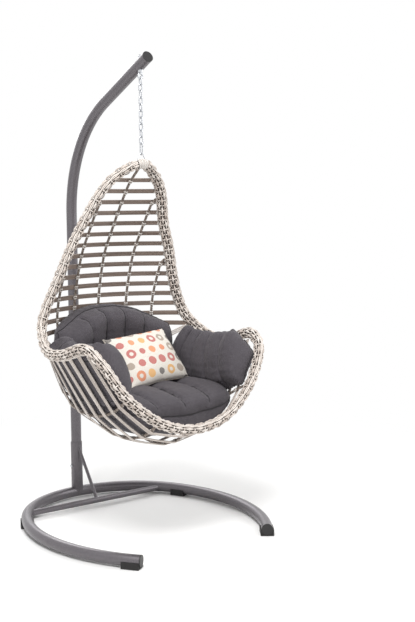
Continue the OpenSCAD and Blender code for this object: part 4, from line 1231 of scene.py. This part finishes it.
def in_bowl(v, gap=0.0085):
    """Cloth is held in by the strips."""
    v = np.array(v)
    for k, p in enumerate(v - BOWL):
        r = np.linalg.norm(p)
        if r < 0.15:
            continue
        hit = STRIP_TREE.find_n(Vector(p / r), 14)
        w = np.array([1 / (a[2] + 0.01) ** 2 for a in hit])
        if hit[0][2] > 0.10:
            continue
        lim = float((w * STRIP_FAR[[a[1] for a in hit]]).sum() / w.sum()) - gap
        if r > lim:
            v[k] = BOWL + p * lim / r
    return v


STRIP_TREE, STRIP_FAR = bowl_table()


def seat_shape(v):
    """The seat pad is broad at its front corners and reaches towards the rim."""
    v = np.array(v)
    w = ramp(np.abs(v[:, 0]), 0.05, 0.22) * ramp(-v[:, 1], 0.02, 0.26)
    v[:, 0] += np.sign(v[:, 0]) * 0.026 * w
    v[:, 1] -= 0.016 * w
    return v


def back_shape(v):
    """The back pad stands a little off the slats at its top."""
    v = np.array(v)
    w = ramp(v[:, 2], 0.62, 0.93)
    v[:, 1] -= 0.034 * w
    v[:, 2] -= 0.006 * w
    side = np.exp(-((v[:, 2] - 0.79) / 0.07) ** 2) * ramp(np.abs(v[:, 0]), 0.14, 0.28)
    v[:, 0] += np.sign(v[:, 0]) * 0.024 * side
    return v


def arm_shape(v):
    """The side pads run forward to the rim, where their tops level off."""
    v = np.array(v)
    w = ramp(-v[:, 1], 0.06, 0.30)
    v[:, 1] -= 0.034 * w
    v[:, 2] -= 0.022 * w
    v[:, 0] -= np.sign(v[:, 0]) * 0.006 * w
    return v


def fuller(v, n):
    """Side cushions are stuffed full: out along the cloth, and on towards seat and back."""
    down = np.clip(-n[:, 2], 0, 1)
    rear = np.clip(n[:, 1], 0, 1)
    return n * (0.009 + 0.022 * down + 0.012 * rear)[:, None]


def facing(x, y, z):
    return side_of(lambda v: np.tile([x, y, z], (len(v), 1)))


def back_side(v):
    return np.stack([v[:, 0] * 1.4, v[:, 1] + 0.12, v[:, 2] * 0], 1)


seat = soft("seat_pad", "seat_cushion", cloth, facing(0, 0, -1.0), SEAT_PAD.seams()[1:-1],
            SEAT_PAD.border(2 / 3), shape=seat_shape, bowl=True)
back = soft("back_pad", "back_cushion", cloth, side_of(back_side), BACK_PAD.seams()[1:-1],
            BACK_PAD.border(), grow=lambda v, n: n * 0.006, on=(seat[0],), shape=back_shape)
ARM_SEAMS, ARM_BORDER = ARM_PAD.seams()[1:-1], ARM_PAD.border()
ARM_MAKE = dict(cap=0.024, press=7.0, grow=fuller, on=(seat[0], back[0]), shape=arm_shape, bowl=True)
arm_r = soft("right_arm_pad", "arm_cushion_right", cloth, facing(1.0, 0, -0.35),
             ARM_SEAMS, ARM_BORDER, **ARM_MAKE)
arm_l = soft("left_arm_pad", "arm_cushion_left", cloth, facing(-1.0, 0, -0.35),
             [c * MIR for c in ARM_SEAMS], ARM_BORDER * MIR, **ARM_MAKE)
# the cords in the channels and round the edges carry the painted crease shade
for name, pad in (("seat", seat), ("back", back), ("right_arm", arm_r), ("left_arm", arm_l)):
    sewn(name + "_seams", *pad, seam_shade_m, "cloth")

# throw pillow, with its own face coordinates for the print
def turned(degrees, axis):
    return Matrix.Rotation(math.radians(degrees), 4, axis)


c0 = Vector(PILLOW_AT) / 1000
R = Matrix.Translation(c0) @ turned(PILLOW_TURN, "Z") @ turned(90 - PILLOW_TILT, "X") @ turned(PILLOW_ROLL, "Z")
Rn = np.array(R)


def pillow_edge():
    out = []
    e = lambda t: 1 - 0.07 * (1 - (2 * t - 1) ** 2)
    for k in range(120):
        q = k / 30.0
        s, t = ((q, 0) if q < 1 else (1, q - 1) if q < 2 else (3 - q, 1) if q < 3 else (0, 4 - q))
        x, y = (s - 0.5) * PILLOW_W * e(t), (t - 0.5) * PILLOW_H * e(s)
        p = Rn @ np.array([x / 1000, y / 1000, 0, 1])
        out.append(p[:3] * 1000)
    return out


pe = pillow_edge()
lean = R.to_3x3().to_4x4()
TURN = (Matrix.Translation(c0 + PILLOW_MOVE) @ lean @ turned(PILLOW_SPIN, "Z")
        @ Matrix.Diagonal((PILLOW_WIDER, 1, 1, 1)) @ lean.inverted() @ Matrix.Translation(-c0))
pil, _, pedge = soft("scatter_pillow", "throw_pillow", canvas, lambda v, n: np.zeros(len(v)), [], pe,
                     slot="pillow", fill=0.7, shrink=0.006, cap=0.007, turn=TURN,
                     on=(seat[0], back[0], arm_r[0], arm_l[0]))
inv = np.linalg.inv(np.array(TURN @ R))
pv = coords(pil)
local = (np.c_[pv, np.ones(len(pv))] @ inv.T)[:, :3]
uvl = pil.data.uv_layers.new(name="face")
li = np.zeros(len(pil.data.loops), np.int32)
pil.data.loops.foreach_get("vertex_index", li)
cell = 0.052
shift = np.where(local[li, 2] > 0, 0.0, 11.0)
face_uv = np.stack([local[li, 0] / cell + 20.3 + shift, local[li, 1] / cell + 20.15], 1)
uvl.data.foreach_set("uv", face_uv.astype(np.float32).ravel())
pedge = (np.c_[np.array(pedge), np.ones(len(pedge))] @ np.array(TURN).T)[:, :3]
sewn("pillow_seam", pil, [], pedge, hem_m, "pillow")

# ---------------------------------------------------------------- floor, light, camera
def stage_floor():
    ob = make_object("floor", [(-9, -9, 0), (9, -9, 0), (9, 9, 0), (-9, 9, 0)], [(0, 1, 2, 3)])
    m = Mat("floor", (0.97, 0.968, 0.96, 1), 0.6)
    lp = m.n("LightPath")
    geo = m.n("NewGeometry")
    fall = m.n("VectorMath", operation="LENGTH")
    m.j(geo.outputs["Position"], fall.inputs[0])
    mr = m.n("MapRange", interpolation_type="SMOOTHERSTEP")
    mr.inputs["From Min"].default_value = 0.9
    mr.inputs["From Max"].default_value = 2.4
    m.j(fall.outputs["Value"], mr.inputs["Value"])
    em = m.n("Emission")
    em.inputs["Color"].default_value = (1, 1, 1, 1)
    mx = m.n("MixShader")
    m.j(m.math("MULTIPLY", mr.outputs[0], lp.outputs["Is Camera Ray"]), mx.inputs[0])
    m.j(m.s.outputs[0], mx.inputs[1])
    m.j(em.outputs[0], mx.inputs[2])
    m.j(mx.outputs[0], m.t.nodes["Material Output"].inputs["Surface"])
    cl = m.noise(m.obj(), 40.0, 2.0)
    m.rough(cl, 0.5, 0.62)
    ob.data.materials.append(m.m)


stage_floor()
world = bpy.data.worlds.new("studio")
bpy.context.scene.world = world
world.use_nodes = True
wt = world.node_tree
bg = wt.nodes["Background"]
bg.inputs["Color"].default_value = (1, 1, 1, 1)
bg.inputs["Strength"].default_value = 0.60
bg2 = wt.nodes.new("ShaderNodeBackground")
bg2.inputs["Color"].default_value = (1, 1, 1, 1)
bg2.inputs["Strength"].default_value = 1.0
lp = wt.nodes.new("ShaderNodeLightPath")
mx = wt.nodes.new("ShaderNodeMixShader")
mm = wt.nodes.new("ShaderNodeMath")
mm.operation = "MAXIMUM"
wt.links.new(lp.outputs["Is Camera Ray"], mm.inputs[0])
wt.links.new(lp.outputs["Is Transmission Ray"], mm.inputs[1])
m2 = wt.nodes.new("ShaderNodeMath")
m2.operation = "MAXIMUM"
wt.links.new(mm.outputs[0], m2.inputs[0])
wt.links.new(lp.outputs["Is Glossy Ray"], m2.inputs[1])
wt.links.new(m2.outputs[0], mx.inputs[0])
wt.links.new(bg.outputs[0], mx.inputs[1])
wt.links.new(bg2.outputs[0], mx.inputs[2])
wt.links.new(mx.outputs[0], wt.nodes["World Output"].inputs["Surface"])


def lamp(name, at, aim, size, power):
    d = bpy.data.lights.new(name, "AREA")
    d.shape = "DISK"
    d.size = size
    d.energy = power
    o = bpy.data.objects.new(name, d)
    o.location = at
    o.rotation_euler = (Vector(aim) - Vector(at)).to_track_quat("-Z", "Y").to_euler()
    bpy.context.scene.collection.objects.link(o)


lamp("key", (-1.7, -2.0, 4.3), (0, 0, 0.8), 1.6, 150)
lamp("fill", (2.8, -1.8, 2.4), (0, 0, 0.9), 2.4, 34)
lamp("rim_light", (0.8, 3.0, 2.8), (0, 0, 1.0), 2.2, 40)

cam = bpy.data.cameras.new("camera")
cam.lens = 91.94
cam.sensor_width = 36
cam.sensor_fit = "HORIZONTAL"
co = bpy.data.objects.new("camera", cam)
yaw, pitch, roll = math.radians(37.19582), math.radians(5.78821), math.radians(-0.47349)
fw = Vector((math.sin(yaw) * math.cos(pitch), math.cos(yaw) * math.cos(pitch), -math.sin(pitch)))
rt = Vector((math.cos(yaw), -math.sin(yaw), 0))
up = rt.cross(fw)
r2 = math.cos(roll) * rt + math.sin(roll) * up
u2 = -math.sin(roll) * rt + math.cos(roll) * up
CAMERA_AT = (-2.47368, -3.78819, 1.37975)
co.matrix_world = Matrix.Translation(CAMERA_AT) @ Matrix((r2, u2, -fw)).transposed().to_4x4()
bpy.context.scene.collection.objects.link(co)
bpy.context.scene.camera = co
bpy.context.scene.view_settings.view_transform = "Standard"
